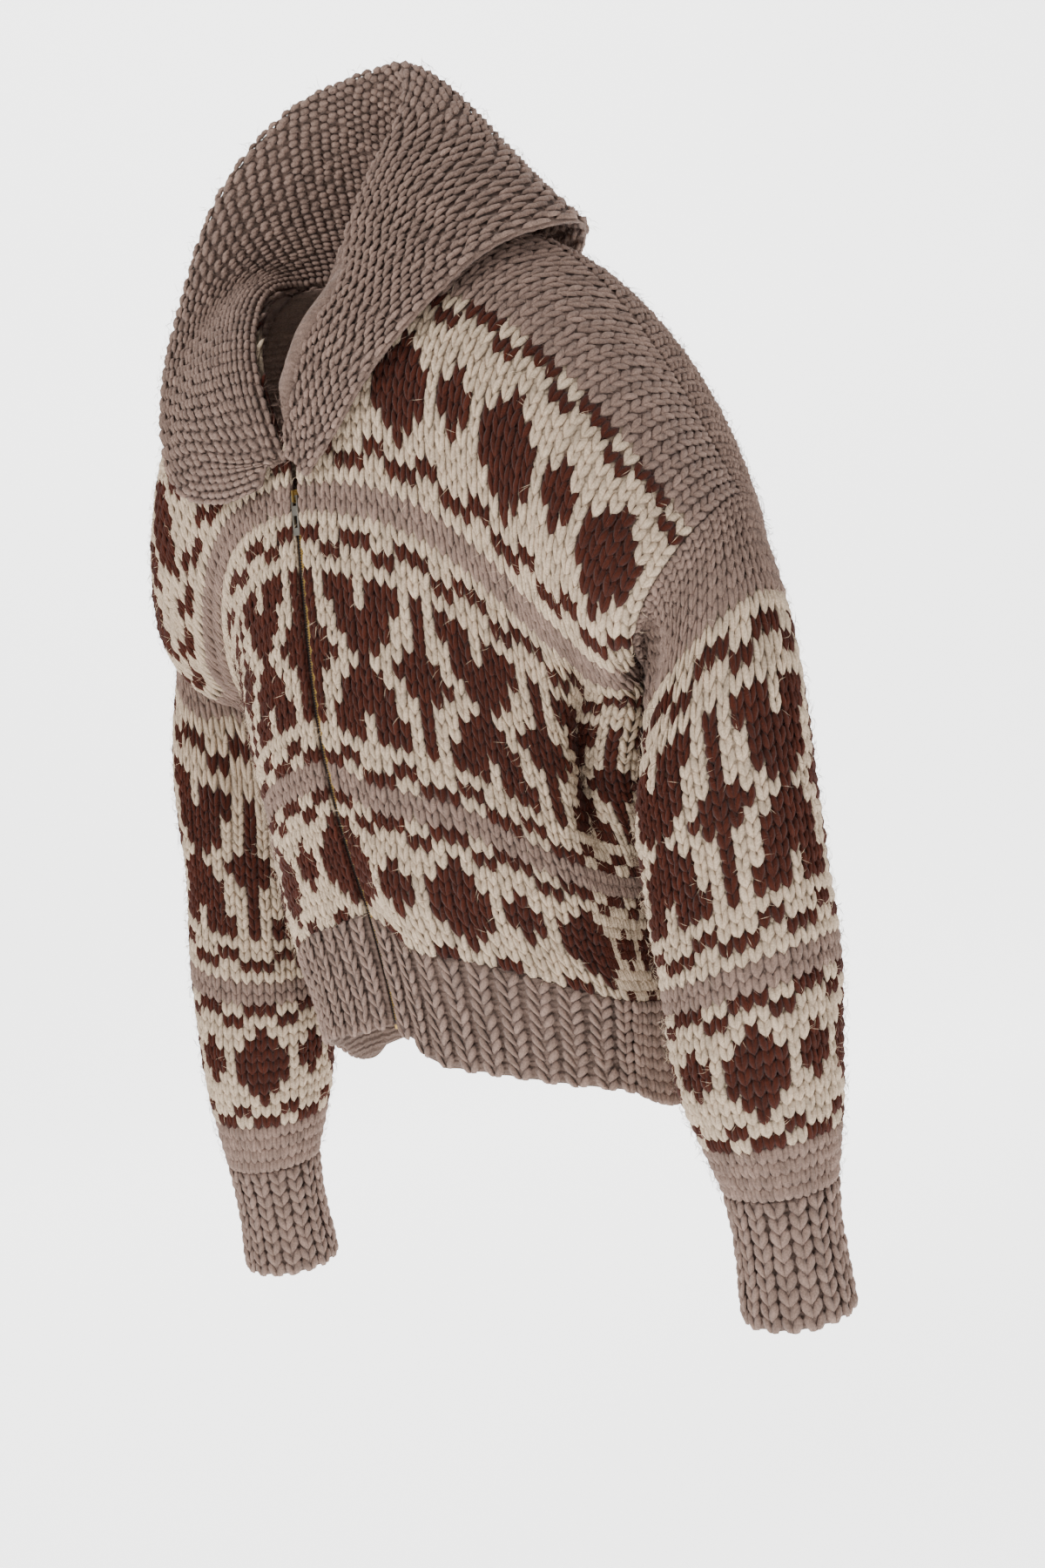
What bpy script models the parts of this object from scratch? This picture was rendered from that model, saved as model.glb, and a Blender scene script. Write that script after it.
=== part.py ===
"""Chunky hand-knit cardigan with a shawl collar and a metal zip, in its worn, hollow shape.

Metres, +Z up. The garment faces -Y, so +X is the wearer's left. The origin lies midway between
the shoulders, level with their highest points beside the neck.

Each panel is worked out in its own cloth: "across" runs from the centre line (0) to the side (1),
and "cloth" is the length of knitting below the shoulder line.
"""

import math
from functools import lru_cache

import bmesh
import bpy
import numpy as np
from mathutils import Matrix, Vector

# Thickness of the knitting and the gaps left at seams
KNIT = 0.006
EDGE_KNIT = 0.0040
COLLAR_KNIT = 0.009
RIB_LOW = 0.0040
RIB_HIGH = 0.0095
SEAM = 0.0003
RIB_SEAM = 0.0008

# The cut of a half front or half back, as knitted flat
HALF_WIDTH = 0.40
BODY_LENGTH = 0.608
ARMHOLE = 0.28
NECK_WIDTH = 0.08
FRONT_NECK_DROP = 0.233
BACK_NECK_DROP = 0.083
NECK_BOW = 0.012
SHOULDER_ROUND = 0.208
SHOULDER_FALL = 0.14
SIDE_EXTRA_FALL = -0.055
EVEN_SHARE = 0.62

# The shoulders are pulled apart: extra width beside the neck and along the shoulder, fading downwards
NECK_SPREAD = 0.030
SHOULDER_SPREAD = 0.060
SPREAD_ENDS = 0.34
ROW_LEVEL = 1.2
SHOULDER_REACH = {1: 0.0, -1: -0.016}

# Where the ribbing starts and ends, as heights at the centre front, the side and the centre back
RIB_TOP = {"front": -0.540, "side": -0.634, "back": -0.604}
HEM = {"front": -0.643, "side": -0.728, "back": -0.700}
ZIP_SAG = {1: 0.030, -1: 0.010}
ZIP_SAG_SHARE = 0.18
RIB_WIDTH = 0.0195
RIB_PULL_IN = 0.94

# Height of the shoulder line against the share of the half width
SHOULDER_LINE = [
    {"across": 0.00, "z": 0.000},
    {"across": 0.25, "z": -0.004},
    {"across": 0.45, "z": -0.019},
    {"across": 0.60, "z": -0.047},
    {"across": 0.75, "z": -0.094},
    {"across": 0.88, "z": -0.156},
    {"across": 1.00, "z": -0.240},
]

# How far the centre lines stand in front of and behind the shoulder line
CENTRE_LINE = [
    {"cloth": 0.208, "front": 0.118, "back": 0.112},
    {"cloth": 0.330, "front": 0.133, "back": 0.112},
    {"cloth": 0.440, "front": 0.142, "back": 0.118},
    {"cloth": 0.530, "front": 0.137, "back": 0.121},
    {"cloth": 0.608, "front": 0.124, "back": 0.112},
]

# Plan of the outer edge: the armhole down to 0.28 of cloth, then the side seam.
# turn is the way a row heads there, in degrees: 0 outwards, 90 round towards the side seam.
OUTER_EDGE = {
    "front": [
        {"cloth": 0.000, "x": 0.332, "y": 0.036, "turn": 0},
        {"cloth": 0.060, "x": 0.346, "y": -0.012, "turn": 20},
        {"cloth": 0.120, "x": 0.340, "y": -0.052, "turn": 42},
        {"cloth": 0.180, "x": 0.316, "y": -0.070, "turn": 68},
        {"cloth": 0.230, "x": 0.281, "y": -0.054, "turn": 88},
        {"cloth": 0.280, "x": 0.238, "y": 0.000, "turn": 90},
        {"cloth": 0.350, "x": 0.222, "y": 0.002, "turn": 90},
        {"cloth": 0.500, "x": 0.217, "y": 0.002, "turn": 90},
        {"cloth": 0.608, "x": 0.213, "y": 0.002, "turn": 90},
    ],
    "back": [
        {"cloth": 0.000, "x": 0.332, "y": 0.036, "turn": 0},
        {"cloth": 0.070, "x": 0.326, "y": 0.060, "turn": 20},
        {"cloth": 0.140, "x": 0.308, "y": 0.076, "turn": 50},
        {"cloth": 0.208, "x": 0.280, "y": 0.072, "turn": 80},
        {"cloth": 0.250, "x": 0.258, "y": 0.044, "turn": 90},
        {"cloth": 0.280, "x": 0.238, "y": 0.000, "turn": 90},
        {"cloth": 0.350, "x": 0.222, "y": 0.002, "turn": 90},
        {"cloth": 0.500, "x": 0.217, "y": 0.002, "turn": 90},
        {"cloth": 0.608, "x": 0.213, "y": 0.002, "turn": 90},
    ],
}

# Folds of the body: a soft ridge (depth > 0) or trough (depth < 0), centred at cloth and across,
# reaching "long" along the column and "wide" along the row; lean slants it.
FOLDS = {
    ("front", 1): [
        {"cloth": 0.345, "long": 0.150, "across": 0.80, "wide": 0.10, "lean": 0.0, "depth": -0.034},
        {"cloth": 0.290, "long": 0.100, "across": 0.91, "wide": 0.08, "lean": 0.0, "depth": 0.016},
        {"cloth": 0.450, "long": 0.130, "across": 0.46, "wide": 0.16, "lean": -0.9, "depth": -0.008},
        {"cloth": 0.560, "long": 0.060, "across": 0.16, "wide": 0.16, "lean": 0.0, "depth": 0.010},
    ],
    ("front", -1): [
        {"cloth": 0.340, "long": 0.150, "across": 0.82, "wide": 0.10, "lean": 0.0, "depth": -0.030},
        {"cloth": 0.280, "long": 0.100, "across": 0.92, "wide": 0.07, "lean": 0.0, "depth": 0.014},
        {"cloth": 0.470, "long": 0.120, "across": 0.52, "wide": 0.16, "lean": -0.7, "depth": -0.009},
    ],
    ("back", 1): [
        {"cloth": 0.350, "long": 0.160, "across": 0.80, "wide": 0.10, "lean": 0.0, "depth": -0.026},
        {"cloth": 0.430, "long": 0.140, "across": 0.44, "wide": 0.14, "lean": -0.6, "depth": -0.008},
    ],
    ("back", -1): [
        {"cloth": 0.345, "long": 0.150, "across": 0.82, "wide": 0.10, "lean": 0.0, "depth": -0.024},
        {"cloth": 0.400, "long": 0.150, "across": 0.40, "wide": 0.15, "lean": -0.5, "depth": -0.009},
    ],
}

# Rings of a hanging sleeve, against the share of its length
SLEEVE_RINGS = [
    {"along": 0.00, "x": 0.296, "y": 0.002, "wide": 0.060, "deep": 0.072, "outer": -0.240, "inner": -0.385},
    {"along": 0.15, "x": 0.308, "y": 0.000, "wide": 0.069, "deep": 0.074, "outer": -0.316, "inner": -0.432},
    {"along": 0.35, "x": 0.311, "y": -0.004, "wide": 0.071, "deep": 0.075, "outer": -0.424, "inner": -0.502},
    {"along": 0.60, "x": 0.312, "y": -0.007, "wide": 0.070, "deep": 0.073, "outer": -0.559, "inner": -0.602},
    {"along": 0.85, "x": 0.311, "y": -0.008, "wide": 0.062, "deep": 0.065, "outer": -0.696, "inner": -0.710},
    {"along": 1.00, "x": 0.313, "y": -0.008, "wide": 0.046, "deep": 0.047, "outer": -0.777, "inner": -0.780},
]
# How far a sleeve's end swings outwards, backwards and up from the table; the right one hangs forward
SLEEVE_SWING = {1: (0.0, 0.0, 0.0), -1: (0.008, -0.054, -0.044)}
SWING_POWER = 1.5
SLEEVE_REACH = {1: 0.0, -1: -0.010}
SLEEVE_BLEND = 0.30
SLEEVE_FOLDS = [
    {"along": 0.14, "long": 0.22, "round": 0.37, "wide": 0.07, "depth": -0.022},
    {"along": 0.10, "long": 0.18, "round": 0.45, "wide": 0.06, "depth": 0.010},
    {"along": 0.50, "long": 0.16, "round": 0.16, "wide": 0.14, "depth": -0.005},
    {"along": 0.78, "long": 0.14, "round": 0.30, "wide": 0.16, "depth": 0.005},
    {"along": 0.30, "long": 0.18, "round": 0.72, "wide": 0.12, "depth": -0.008},
    {"along": 0.66, "long": 0.16, "round": 0.84, "wide": 0.14, "depth": 0.005},
]
UNDERARM_EASE = 0.013
CUFF_HEIGHT = 0.108
CUFF_TAPER = 0.94
CUFF_RIBS = 16

# The collar from the zip end (0) over the shoulder (0.5) to the centre back (1). The crest is the
# fold that it turns over; its edge lies on the body at so much width and cloth (back: negative).
COLLAR = {
    1: [
        {"round": 0.00, "crest": (0.012, -0.138, -0.152), "width": 0.030, "cloth": 0.238, "lift": 0.003, "roll": 0.012},
        {"round": 0.15, "crest": (0.020, -0.122, -0.116), "width": 0.062, "cloth": 0.212, "lift": 0.004, "roll": 0.016},
        {"round": 0.30, "crest": (0.034, -0.098, -0.060), "width": 0.112, "cloth": 0.160, "lift": 0.005, "roll": 0.020},
        {"round": 0.42, "crest": (0.040, -0.074, -0.004), "width": 0.150, "cloth": 0.105, "lift": 0.006, "roll": 0.032},
        {"round": 0.55, "crest": (0.048, -0.038, 0.060), "width": 0.158, "cloth": 0.045, "lift": 0.008, "roll": 0.054},
        {"round": 0.70, "crest": (0.058, 0.006, 0.114), "width": 0.146, "cloth": -0.050, "lift": 0.016, "roll": 0.074},
        {"round": 0.85, "crest": (0.044, 0.028, 0.148), "width": 0.090, "cloth": -0.115, "lift": 0.010, "roll": 0.055},
        {"round": 1.00, "crest": (0.000, 0.030, 0.160), "width": 0.000, "cloth": -0.140, "lift": 0.008, "roll": 0.040},
    ],
    -1: [
        {"round": 0.00, "crest": (0.014, -0.140, -0.154), "width": 0.034, "cloth": 0.242, "lift": 0.003, "roll": 0.012},
        {"round": 0.15, "crest": (0.072, -0.138, -0.146), "width": 0.090, "cloth": 0.236, "lift": 0.004, "roll": 0.014},
        {"round": 0.30, "crest": (0.132, -0.126, -0.108), "width": 0.158, "cloth": 0.192, "lift": 0.005, "roll": 0.016},
        {"round": 0.42, "crest": (0.166, -0.102, -0.048), "width": 0.164, "cloth": 0.130, "lift": 0.006, "roll": 0.018},
        {"round": 0.55, "crest": (0.174, -0.068, 0.030), "width": 0.160, "cloth": 0.050, "lift": 0.008, "roll": 0.020},
        {"round": 0.70, "crest": (0.144, -0.036, 0.102), "width": 0.150, "cloth": -0.055, "lift": 0.010, "roll": 0.028},
        {"round": 0.85, "crest": (0.082, 0.004, 0.146), "width": 0.090, "cloth": -0.115, "lift": 0.010, "roll": 0.036},
        {"round": 1.00, "crest": (0.000, 0.030, 0.160), "width": 0.000, "cloth": -0.140, "lift": 0.008, "roll": 0.040},
    ],
}
COLLAR_STEPS = 6
LIE_SHARE = 0.35
COLLAR_GAP = 0.0010
COLLAR_CLEAR = 0.0022
COLLAR_FOOT = (0.5, 0.8)
COLLAR_END_SHARE = 0.5
SAMPLE_STEP = 0.012

# The zip: a brass chain between two tapes, its slider and the pull
CHAIN_WIDTH = 0.0056
CHAIN_THICK = 0.0024
CHAIN_SET_OUT = 0.0012
FRONT_EDGE = 0.0046
TAPE_WIDTH = 0.0150
TAPE_THICK = 0.0010
TAPE_GAP = 0.0005
TAPE_ABOVE = 0.022
TAPE_SPREAD = (0.0060, 0.0030, 0.0014)
TAPE_CLOSES = 0.008
ZIP_END = 0.004
SLIDER_CLOTH = 0.246
SLIDER_WIDTH = 0.0082
SLIDER_LENGTH = 0.0110
PLATE_THICK = 0.0012
CHAIN_PLAY = 0.0003
CHAIN_STARTS = 0.4
POST_LENGTH = 0.0026
BRIDGE_WIDTH = 0.0022
BRIDGE_LENGTH = 0.0080
BRIDGE_BAR = 0.0012
BRIDGE_TUNNEL = 0.0024
PULL_WIDTH = 0.0085
PULL_LENGTH = 0.0330
PULL_THICK = 0.0014
PULL_BAR = 0.0015
PULL_WINDOW = (0.0048, 0.0072)
PULL_SLOT = (0.0044, 0.0100)
PULL_SLOT_FROM = 0.0160
STOP_SIZE = (0.0062, 0.0036, 0.0030)
STOP_RISE = 0.0012

# How finely the panels are divided
NECK_COLUMNS = 6
PANEL_COLUMNS = 11
ARMHOLE_ROWS = 10
SIDE_ROWS = 11
SLEEVE_ROWS = 17
RIB_ROWS = 2

FRONT, BACK, LEFT, RIGHT = "front", "back", 1, -1
SIDE_NAME = {LEFT: "left", RIGHT: "right"}


def smooth_read(table, key, name, at):
    """A column of a table read between its rows on a smooth curve."""
    keys = [row[key] for row in table]
    values = [np.asarray(row[name], float) for row in table]
    if at <= keys[0]:
        return values[0]
    if at >= keys[-1]:
        return values[-1]
    i = max(k for k in range(len(keys) - 1) if keys[k] <= at)
    span = keys[i + 1] - keys[i]
    t = (at - keys[i]) / span
    before = values[i] if i == 0 else (values[i + 1] - values[i - 1]) / (keys[i + 1] - keys[i - 1])
    after = (
        values[i + 1]
        if i + 2 == len(keys)
        else (values[i + 2] - values[i]) / (keys[i + 2] - keys[i])
    )
    straight = (values[i + 1] - values[i]) / span
    if i == 0:
        before = straight
    if i + 2 == len(keys):
        after = straight
    return (
        values[i] * (1 + 2 * t) * (1 - t) ** 2
        + before * span * t * (1 - t) ** 2
        + values[i + 1] * t * t * (3 - 2 * t)
        + after * span * t * t * (t - 1)
    )


def bump(x):
    """1 at 0, falling softly to 0 at -1 and 1."""
    return np.where(np.abs(x) < 1, np.cos(np.pi / 2 * np.clip(x, -1, 1)) ** 2, 0.0)


def around_height(heights, face, side, across):
    """A height that runs smoothly from the centre line of one face to the side; the zip holds the fronts up."""
    share = 0.5 - 0.5 * np.cos(np.pi * across)
    sag = ZIP_SAG[side] * np.sin(math.pi / 2 * np.minimum(1, across / ZIP_SAG_SHARE)) ** 2 * (1 - share)
    middle = heights[face] - (sag if face == FRONT else 0)
    return middle + (heights["side"] - middle) * share


def round_over(cloth):
    return math.pi / 2 * min(1.0, cloth / SHOULDER_ROUND)


def row_height(face, side, across, cloth):
    """Height of a row of knitting, at shares of its width."""
    shoulder = np.array([smooth_read(SHOULDER_LINE, "across", "z", u) for u in across])
    slack = min(1.0, cloth / SHOULDER_ROUND)
    even = SHOULDER_LINE[-1]["z"] * (0.5 - 0.5 * np.cos(np.pi * across**ROW_LEVEL))
    shoulder = shoulder + (even - shoulder) * slack
    fall = SHOULDER_FALL + SIDE_EXTRA_FALL * across**2
    total = shoulder - around_height(RIB_TOP, face, side, across)
    below = max(0.0, cloth - SHOULDER_ROUND) / (BODY_LENGTH - SHOULDER_ROUND)
    return shoulder - fall * (1 - math.cos(round_over(cloth))) - (total - fall) * below


@lru_cache(maxsize=None)
def row_curve(face, side, cloth):
    """One knitted row in space, from the centre line outwards: points and their lengths along it."""
    u = np.linspace(0, 1, 161)
    sign = -1 if face == FRONT else 1
    depth = smooth_read(CENTRE_LINE, "cloth", face, max(cloth, SHOULDER_ROUND)) * math.sin(round_over(cloth))
    edge = OUTER_EDGE[face]
    end = np.array([smooth_read(edge, "cloth", k, cloth) for k in ("x", "y")])
    if cloth >= ARMHOLE:
        both = [[smooth_read(OUTER_EDGE[f], "cloth", k, cloth) for k in ("x", "y")] for f in (FRONT, BACK)]
        end = np.mean(both, axis=0)
    end[0] += SHOULDER_REACH[side] * max(0.0, 1 - cloth / BODY_LENGTH)
    turn = math.radians(float(smooth_read(edge, "cloth", "turn", cloth)))
    start = np.array([0.0, sign * depth])
    heading = np.array([math.cos(turn), -sign * math.sin(turn)])
    reach = 0.62 * abs(end[1] - start[1]) + 0.10 * (1 - math.sin(turn))
    first = start + np.array([0.60 * end[0], 0.0])
    second = end - heading * reach
    plan = (
        np.outer((1 - u) ** 3, start)
        + np.outer(3 * u * (1 - u) ** 2, first)
        + np.outer(3 * u * u * (1 - u), second)
        + np.outer(u**3, end)
    )
    way = np.gradient(plan, axis=0)
    way /= np.linalg.norm(way, axis=1)[:, None]
    out = np.stack([way[:, 1], -way[:, 0]], axis=1) * (1 if face == FRONT else -1)
    for fold in FOLDS[(face, side)]:
        middle = fold["across"] + fold["lean"] * (cloth - fold["cloth"])
        swell = fold["depth"] * bump((cloth - fold["cloth"]) / fold["long"]) * bump((u - middle) / fold["wide"])
        plan = plan + out * swell[:, None]
    points = np.column_stack([plan, row_height(face, side, u, cloth)])
    lengths = np.concatenate([[0], np.cumsum(np.linalg.norm(np.diff(points, axis=0), axis=1))])
    return points, lengths


def even_width(across, cloth):
    """Width of the knitting from the centre line, with the spread of the shoulders."""
    beside_neck = min(1.0, across * HALF_WIDTH / NECK_WIDTH)
    spread = NECK_SPREAD * beside_neck**2 * (3 - 2 * beside_neck) + SHOULDER_SPREAD * across
    return HALF_WIDTH * across + spread * max(0.0, 1 - cloth / SPREAD_ENDS) ** 2


def body_point(face, side, across, cloth):
    """A point on the inner face of the body. Stitches keep their width up to EVEN_SHARE and give beyond it."""
    points, lengths = row_curve(face, side, round(float(cloth), 7))
    even = even_width(min(across, EVEN_SHARE), cloth)
    rest = lengths[-1] - even_width(EVEN_SHARE, cloth)
    at = even + rest * max(0.0, across - EVEN_SHARE) / (1 - EVEN_SHARE)
    x, y, z = (np.interp(at, lengths, points[:, k]) for k in range(3))
    return np.array([side * x, y, z])


def body_frame(face, side, across, cloth):
    """Point, outward normal, way outwards along the row and way down the column."""
    step = 0.004
    low, high = max(0.0, across - step), min(1.0, across + step)
    along = body_point(face, side, high, cloth) - body_point(face, side, low, cloth)
    top, bottom = max(0.0, cloth - 0.002), min(BODY_LENGTH, cloth + 0.002)
    down = body_point(face, side, across, bottom) - body_point(face, side, across, top)
    along /= np.linalg.norm(along)
    down /= np.linalg.norm(down)
    normal = np.cross(down, along) * (side if face == FRONT else -side)
    normal /= np.linalg.norm(normal)
    return body_point(face, side, across, cloth), normal, along, down


def neck_cloth(face, width):
    """Length of cloth cut away for the neck at this distance from the centre line."""
    share = min(1.0, width / NECK_WIDTH)
    if face == FRONT:
        return FRONT_NECK_DROP * (1 - share) + NECK_BOW * math.sin(math.pi * share)
    return BACK_NECK_DROP * math.cos(math.pi / 2 * share)


def panel_columns(first_width):
    neck = np.linspace(first_width, NECK_WIDTH, NECK_COLUMNS + 1)
    body = np.linspace(NECK_WIDTH, HALF_WIDTH, PANEL_COLUMNS + 1)[1:]
    return np.concatenate([neck, body])


def panel_rows():
    armhole = np.linspace(0, ARMHOLE, ARMHOLE_ROWS + 1)
    side = np.linspace(ARMHOLE, BODY_LENGTH, SIDE_ROWS + 1)[1:]
    return np.concatenate([armhole, side])


def new_material(name, colour, roughness, metallic=0.0):
    material = bpy.data.materials.new(name)
    material.use_nodes = True
    shader = material.node_tree.nodes["Principled BSDF"]
    shader.inputs["Base Color"].default_value = (*colour, 1)
    shader.inputs["Roughness"].default_value = roughness
    shader.inputs["Metallic"].default_value = metallic
    return material


def finish_object(name, mesh, material):
    mesh.materials.append(material)
    obj = bpy.data.objects.new(name, mesh)
    bpy.context.scene.collection.objects.link(obj)
    return obj


def wall(name, inner, outer, material, closed=False):
    """A wall between two grids of points (rows, columns, xyz); closed joins its last column to its first."""
    rows, columns = inner.shape[:2]
    shape = bmesh.new()
    sheets = [[[shape.verts.new(p) for p in row] for row in grid] for grid in (inner, outer)]
    last = columns if closed else columns - 1
    for i in range(rows - 1):
        for j in range(last):
            k = (j + 1) % columns
            for sheet, flip in zip(sheets, (False, True)):
                corners = [sheet[i][j], sheet[i][k], sheet[i + 1][k], sheet[i + 1][j]]
                shape.faces.new(corners[::-1] if flip else corners)
    rims = [[(i, j) for j in range(columns)] + ([(i, 0)] if closed else []) for i in (0, rows - 1)]
    if not closed:
        rims += [[(i, j) for i in range(rows)] for j in (0, columns - 1)]
    for rim in rims:
        for (i, j), (m, n) in zip(rim, rim[1:]):
            shape.faces.new([sheets[0][i][j], sheets[0][m][n], sheets[1][m][n], sheets[1][i][j]])
    bmesh.ops.recalc_face_normals(shape, faces=shape.faces)
    mesh = bpy.data.meshes.new(name)
    shape.to_mesh(mesh)
    shape.free()
    mesh.shade_smooth()
    return finish_object(name, mesh, material)


def seam_normal(side, across, cloth):
    """Outward normal shared by the front and the back where they meet."""
    both = body_frame(FRONT, side, across, cloth)[1] + body_frame(BACK, side, across, cloth)[1]
    return both / np.linalg.norm(both)


def knit_at(face, width):
    """Thickness of the body's knitting; it is pressed flat beside the zip."""
    return KNIT if face == BACK or width > NECK_WIDTH / 3 else EDGE_KNIT


def level(vector):
    flat = np.array([vector[0], vector[1], 0.0])
    return flat / np.linalg.norm(flat)


def panel_point(face, side, width, given):
    """Point of a panel's inner face and its outward normal; seams share theirs with the next panel."""
    across = min(width / HALF_WIDTH, 1 - SEAM / HALF_WIDTH)
    start = max(neck_cloth(face, width), SEAM)
    cloth = start + (BODY_LENGTH - start) * given / BODY_LENGTH
    point, normal, _, _ = body_frame(face, side, across, cloth)
    if cloth <= SEAM:
        normal = seam_normal(side, across, cloth)
    if width >= HALF_WIDTH - SEAM and cloth > ARMHOLE * 0.8:
        normal = seam_normal(side, across, cloth)
    if given == BODY_LENGTH:
        normal = level(normal)
    return point, normal


def panel_grid(face, side, first_width):
    """Inner and outer points of a half front or half back, shoulder and neck edge first."""
    inner, outer = [], []
    for given in panel_rows():
        inner_row, outer_row = [], []
        for width in panel_columns(first_width):
            point, normal = panel_point(face, side, width, given)
            inner_row.append(point)
            outer_row.append(point + normal * knit_at(face, width))
        inner.append(inner_row)
        outer.append(outer_row)
    return np.array(inner), np.array(outer)


def front_panel(side, wool):
    inner, outer = panel_grid(FRONT, side, FRONT_EDGE)
    return wall(f"front_{SIDE_NAME[side]}", inner, outer, wool)


def back_panel(wool):
    halves = [panel_grid(BACK, side, 0.0) for side in (RIGHT, LEFT)]
    inner, outer = (
        np.concatenate([halves[0][k][:, ::-1], halves[1][k][:, 1:]], axis=1) for k in (0, 1)
    )
    return wall("back", inner, outer, wool)


def sleeve_point(side, turn, along):
    """Inner face of a sleeve. turn is 0 at the outside, 0.25 in front, 0.5 against the body."""
    row = {k: float(smooth_read(SLEEVE_RINGS, "along", k, along)) for k in SLEEVE_RINGS[0] if k != "along"}
    angle = 2 * math.pi * turn
    swell = sum(
        f["depth"]
        * float(bump((along - f["along"]) / f["long"]))
        * float(bump(((turn - f["round"] + 0.5) % 1 - 0.5) / f["wide"]))
        for f in SLEEVE_FOLDS
    )
    x = row["x"] + (row["wide"] + swell) * math.cos(angle)
    y = row["y"] - (row["deep"] + swell) * math.sin(angle)
    z = row["outer"] + (row["inner"] - row["outer"]) * (1 - math.cos(angle)) / 2
    swing = np.array(SLEEVE_SWING[side]) * along**SWING_POWER
    ring = np.array([side * (x + SLEEVE_REACH[side] + swing[0]), y + swing[1], z + swing[2]])
    if along >= SLEEVE_BLEND:
        return ring
    cloth = ARMHOLE * (1 - abs(1 - 2 * turn))
    face = FRONT if turn <= 0.5 else BACK
    edge, _, outward, _ = body_frame(face, side, 1 - SEAM / HALF_WIDTH, cloth)
    start = edge + outward * SEAM
    ease = float(bump((turn - 0.5) / 0.16)) * UNDERARM_EASE
    start = start + np.array([side * ease, 0, 0])
    share = along / SLEEVE_BLEND
    weight = share * share * (3 - 2 * share)
    straight = start + outward * along * 0.25
    return straight * (1 - weight) + ring * weight


def sleeve(side, wool):
    turns = np.arange(2 * ARMHOLE_ROWS) / (2 * ARMHOLE_ROWS)
    shares = np.linspace(0, 1, SLEEVE_ROWS + 1)
    inner = np.array([[sleeve_point(side, t, s) for t in turns] for s in shares])
    normals = ring_normals(inner, side)
    for j, turn in enumerate(turns):
        cloth = ARMHOLE * (1 - abs(1 - 2 * turn))
        face = FRONT if turn <= 0.5 else BACK
        _, normal, _, _ = body_frame(face, side, 1 - SEAM / HALF_WIDTH, cloth)
        own = float(bump((turn - 0.5) / 0.22))
        mixed = normal * (1 - own) + normals[0, j] * own
        normals[0, j] = mixed / np.linalg.norm(mixed)
    return wall(f"sleeve_{SIDE_NAME[side]}", inner, inner + normals * KNIT, wool, closed=True)


def ring_normals(grid, side):
    """Outward normals of a tube of closed rings."""
    round_way = np.roll(grid, -1, axis=1) - np.roll(grid, 1, axis=1)
    down_way = np.gradient(grid, axis=0)
    normals = np.cross(down_way, round_way) * side
    return normals / np.linalg.norm(normals, axis=2)[:, :, None]


def rib_height(column):
    """Three points to a rib: its furrow, then the two edges of its crest."""
    return RIB_LOW if column % 3 == 0 else RIB_HIGH


def cuff(side, wool):
    turns = np.arange(3 * CUFF_RIBS) / (3 * CUFF_RIBS)
    top = np.array([sleeve_point(side, t, 1.0) for t in turns])
    middle = top.mean(axis=0)
    inner = []
    for share in np.linspace(0, 1, RIB_ROWS + 1):
        ring = middle + (top - middle) * (1 + (CUFF_TAPER - 1) * math.sin(math.pi * min(1, share * 1.2)))
        ring[:, 2] = top[:, 2] - RIB_SEAM - (CUFF_HEIGHT - RIB_SEAM) * share
        inner.append(ring)
    inner = np.array(inner)
    heights = np.array([rib_height(j) for j in range(len(turns))])
    outer = inner + ring_normals(inner, side) * heights[None, :, None]
    return wall(f"cuff_{SIDE_NAME[side]}", inner, outer, wool, closed=True)


@lru_cache(maxsize=None)
def panel_foot(face, side, first_width):
    """The lowest row of a panel: widths, points and normals."""
    widths = panel_columns(first_width)
    found = [panel_point(face, side, w, BODY_LENGTH) for w in widths]
    return widths, np.array([f[0] for f in found]), np.array([f[1] for f in found])


def hem_point(face, side, first_width, width, share):
    """Inner face of the hem ribbing and its outward normal, share 0 at its top and 1 at the hem."""
    widths, points, normals = panel_foot(face, side, first_width)
    top = np.array([np.interp(width, widths, points[:, k]) for k in range(3)])
    normal = np.array([np.interp(width, widths, normals[:, k]) for k in range(3)])
    pull = 1 + (RIB_PULL_IN - 1) * math.sin(math.pi / 2 * share)
    drop = top[2] - float(around_height(HEM, face, side, width / HALF_WIDTH))
    z = top[2] - RIB_SEAM - (drop - RIB_SEAM) * share
    return np.array([top[0] * pull, top[1] * pull, z]), normal / np.linalg.norm(normal)


def hem_half(face, side, first_width):
    """Inner and outer grids of one quarter of the hem ribbing, from the centre line outwards."""
    _, lengths = row_curve(face, side, BODY_LENGTH)
    ribs = round(lengths[-1] / RIB_WIDTH)
    columns = np.linspace(first_width, HALF_WIDTH, 3 * ribs + 1)
    inner, outer = [], []
    for share in np.linspace(0, 1, RIB_ROWS + 1):
        inner_row, outer_row = [], []
        for j, width in enumerate(columns):
            point, normal = hem_point(face, side, first_width, width, share)
            inner_row.append(point)
            outer_row.append(point + normal * rib_height(j))
        inner.append(inner_row)
        outer.append(outer_row)
    return np.array(inner), np.array(outer)


def hem_front(side, wool):
    inner, outer = hem_half(FRONT, side, FRONT_EDGE)
    return wall(f"hem_{SIDE_NAME[side]}", inner, outer, wool)


def hem_back(wool):
    halves = [hem_half(BACK, side, 0.0) for side in (RIGHT, LEFT)]
    inner, outer = (
        np.concatenate([halves[0][k][:, ::-1], halves[1][k][:, 1:]], axis=1) for k in (0, 1)
    )
    return wall("hem_back", inner, outer, wool)


def neck_stations(side):
    """Face and width of the collar's seam points, from the zip end over the shoulder to the centre back."""
    front = np.linspace(FRONT_EDGE, NECK_WIDTH, NECK_COLUMNS + 1)
    back = np.linspace(NECK_WIDTH, 0.0, NECK_COLUMNS + 1)[1:]
    return [(FRONT, side, w) for w in front] + [(BACK, side, w) for w in back]


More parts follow.
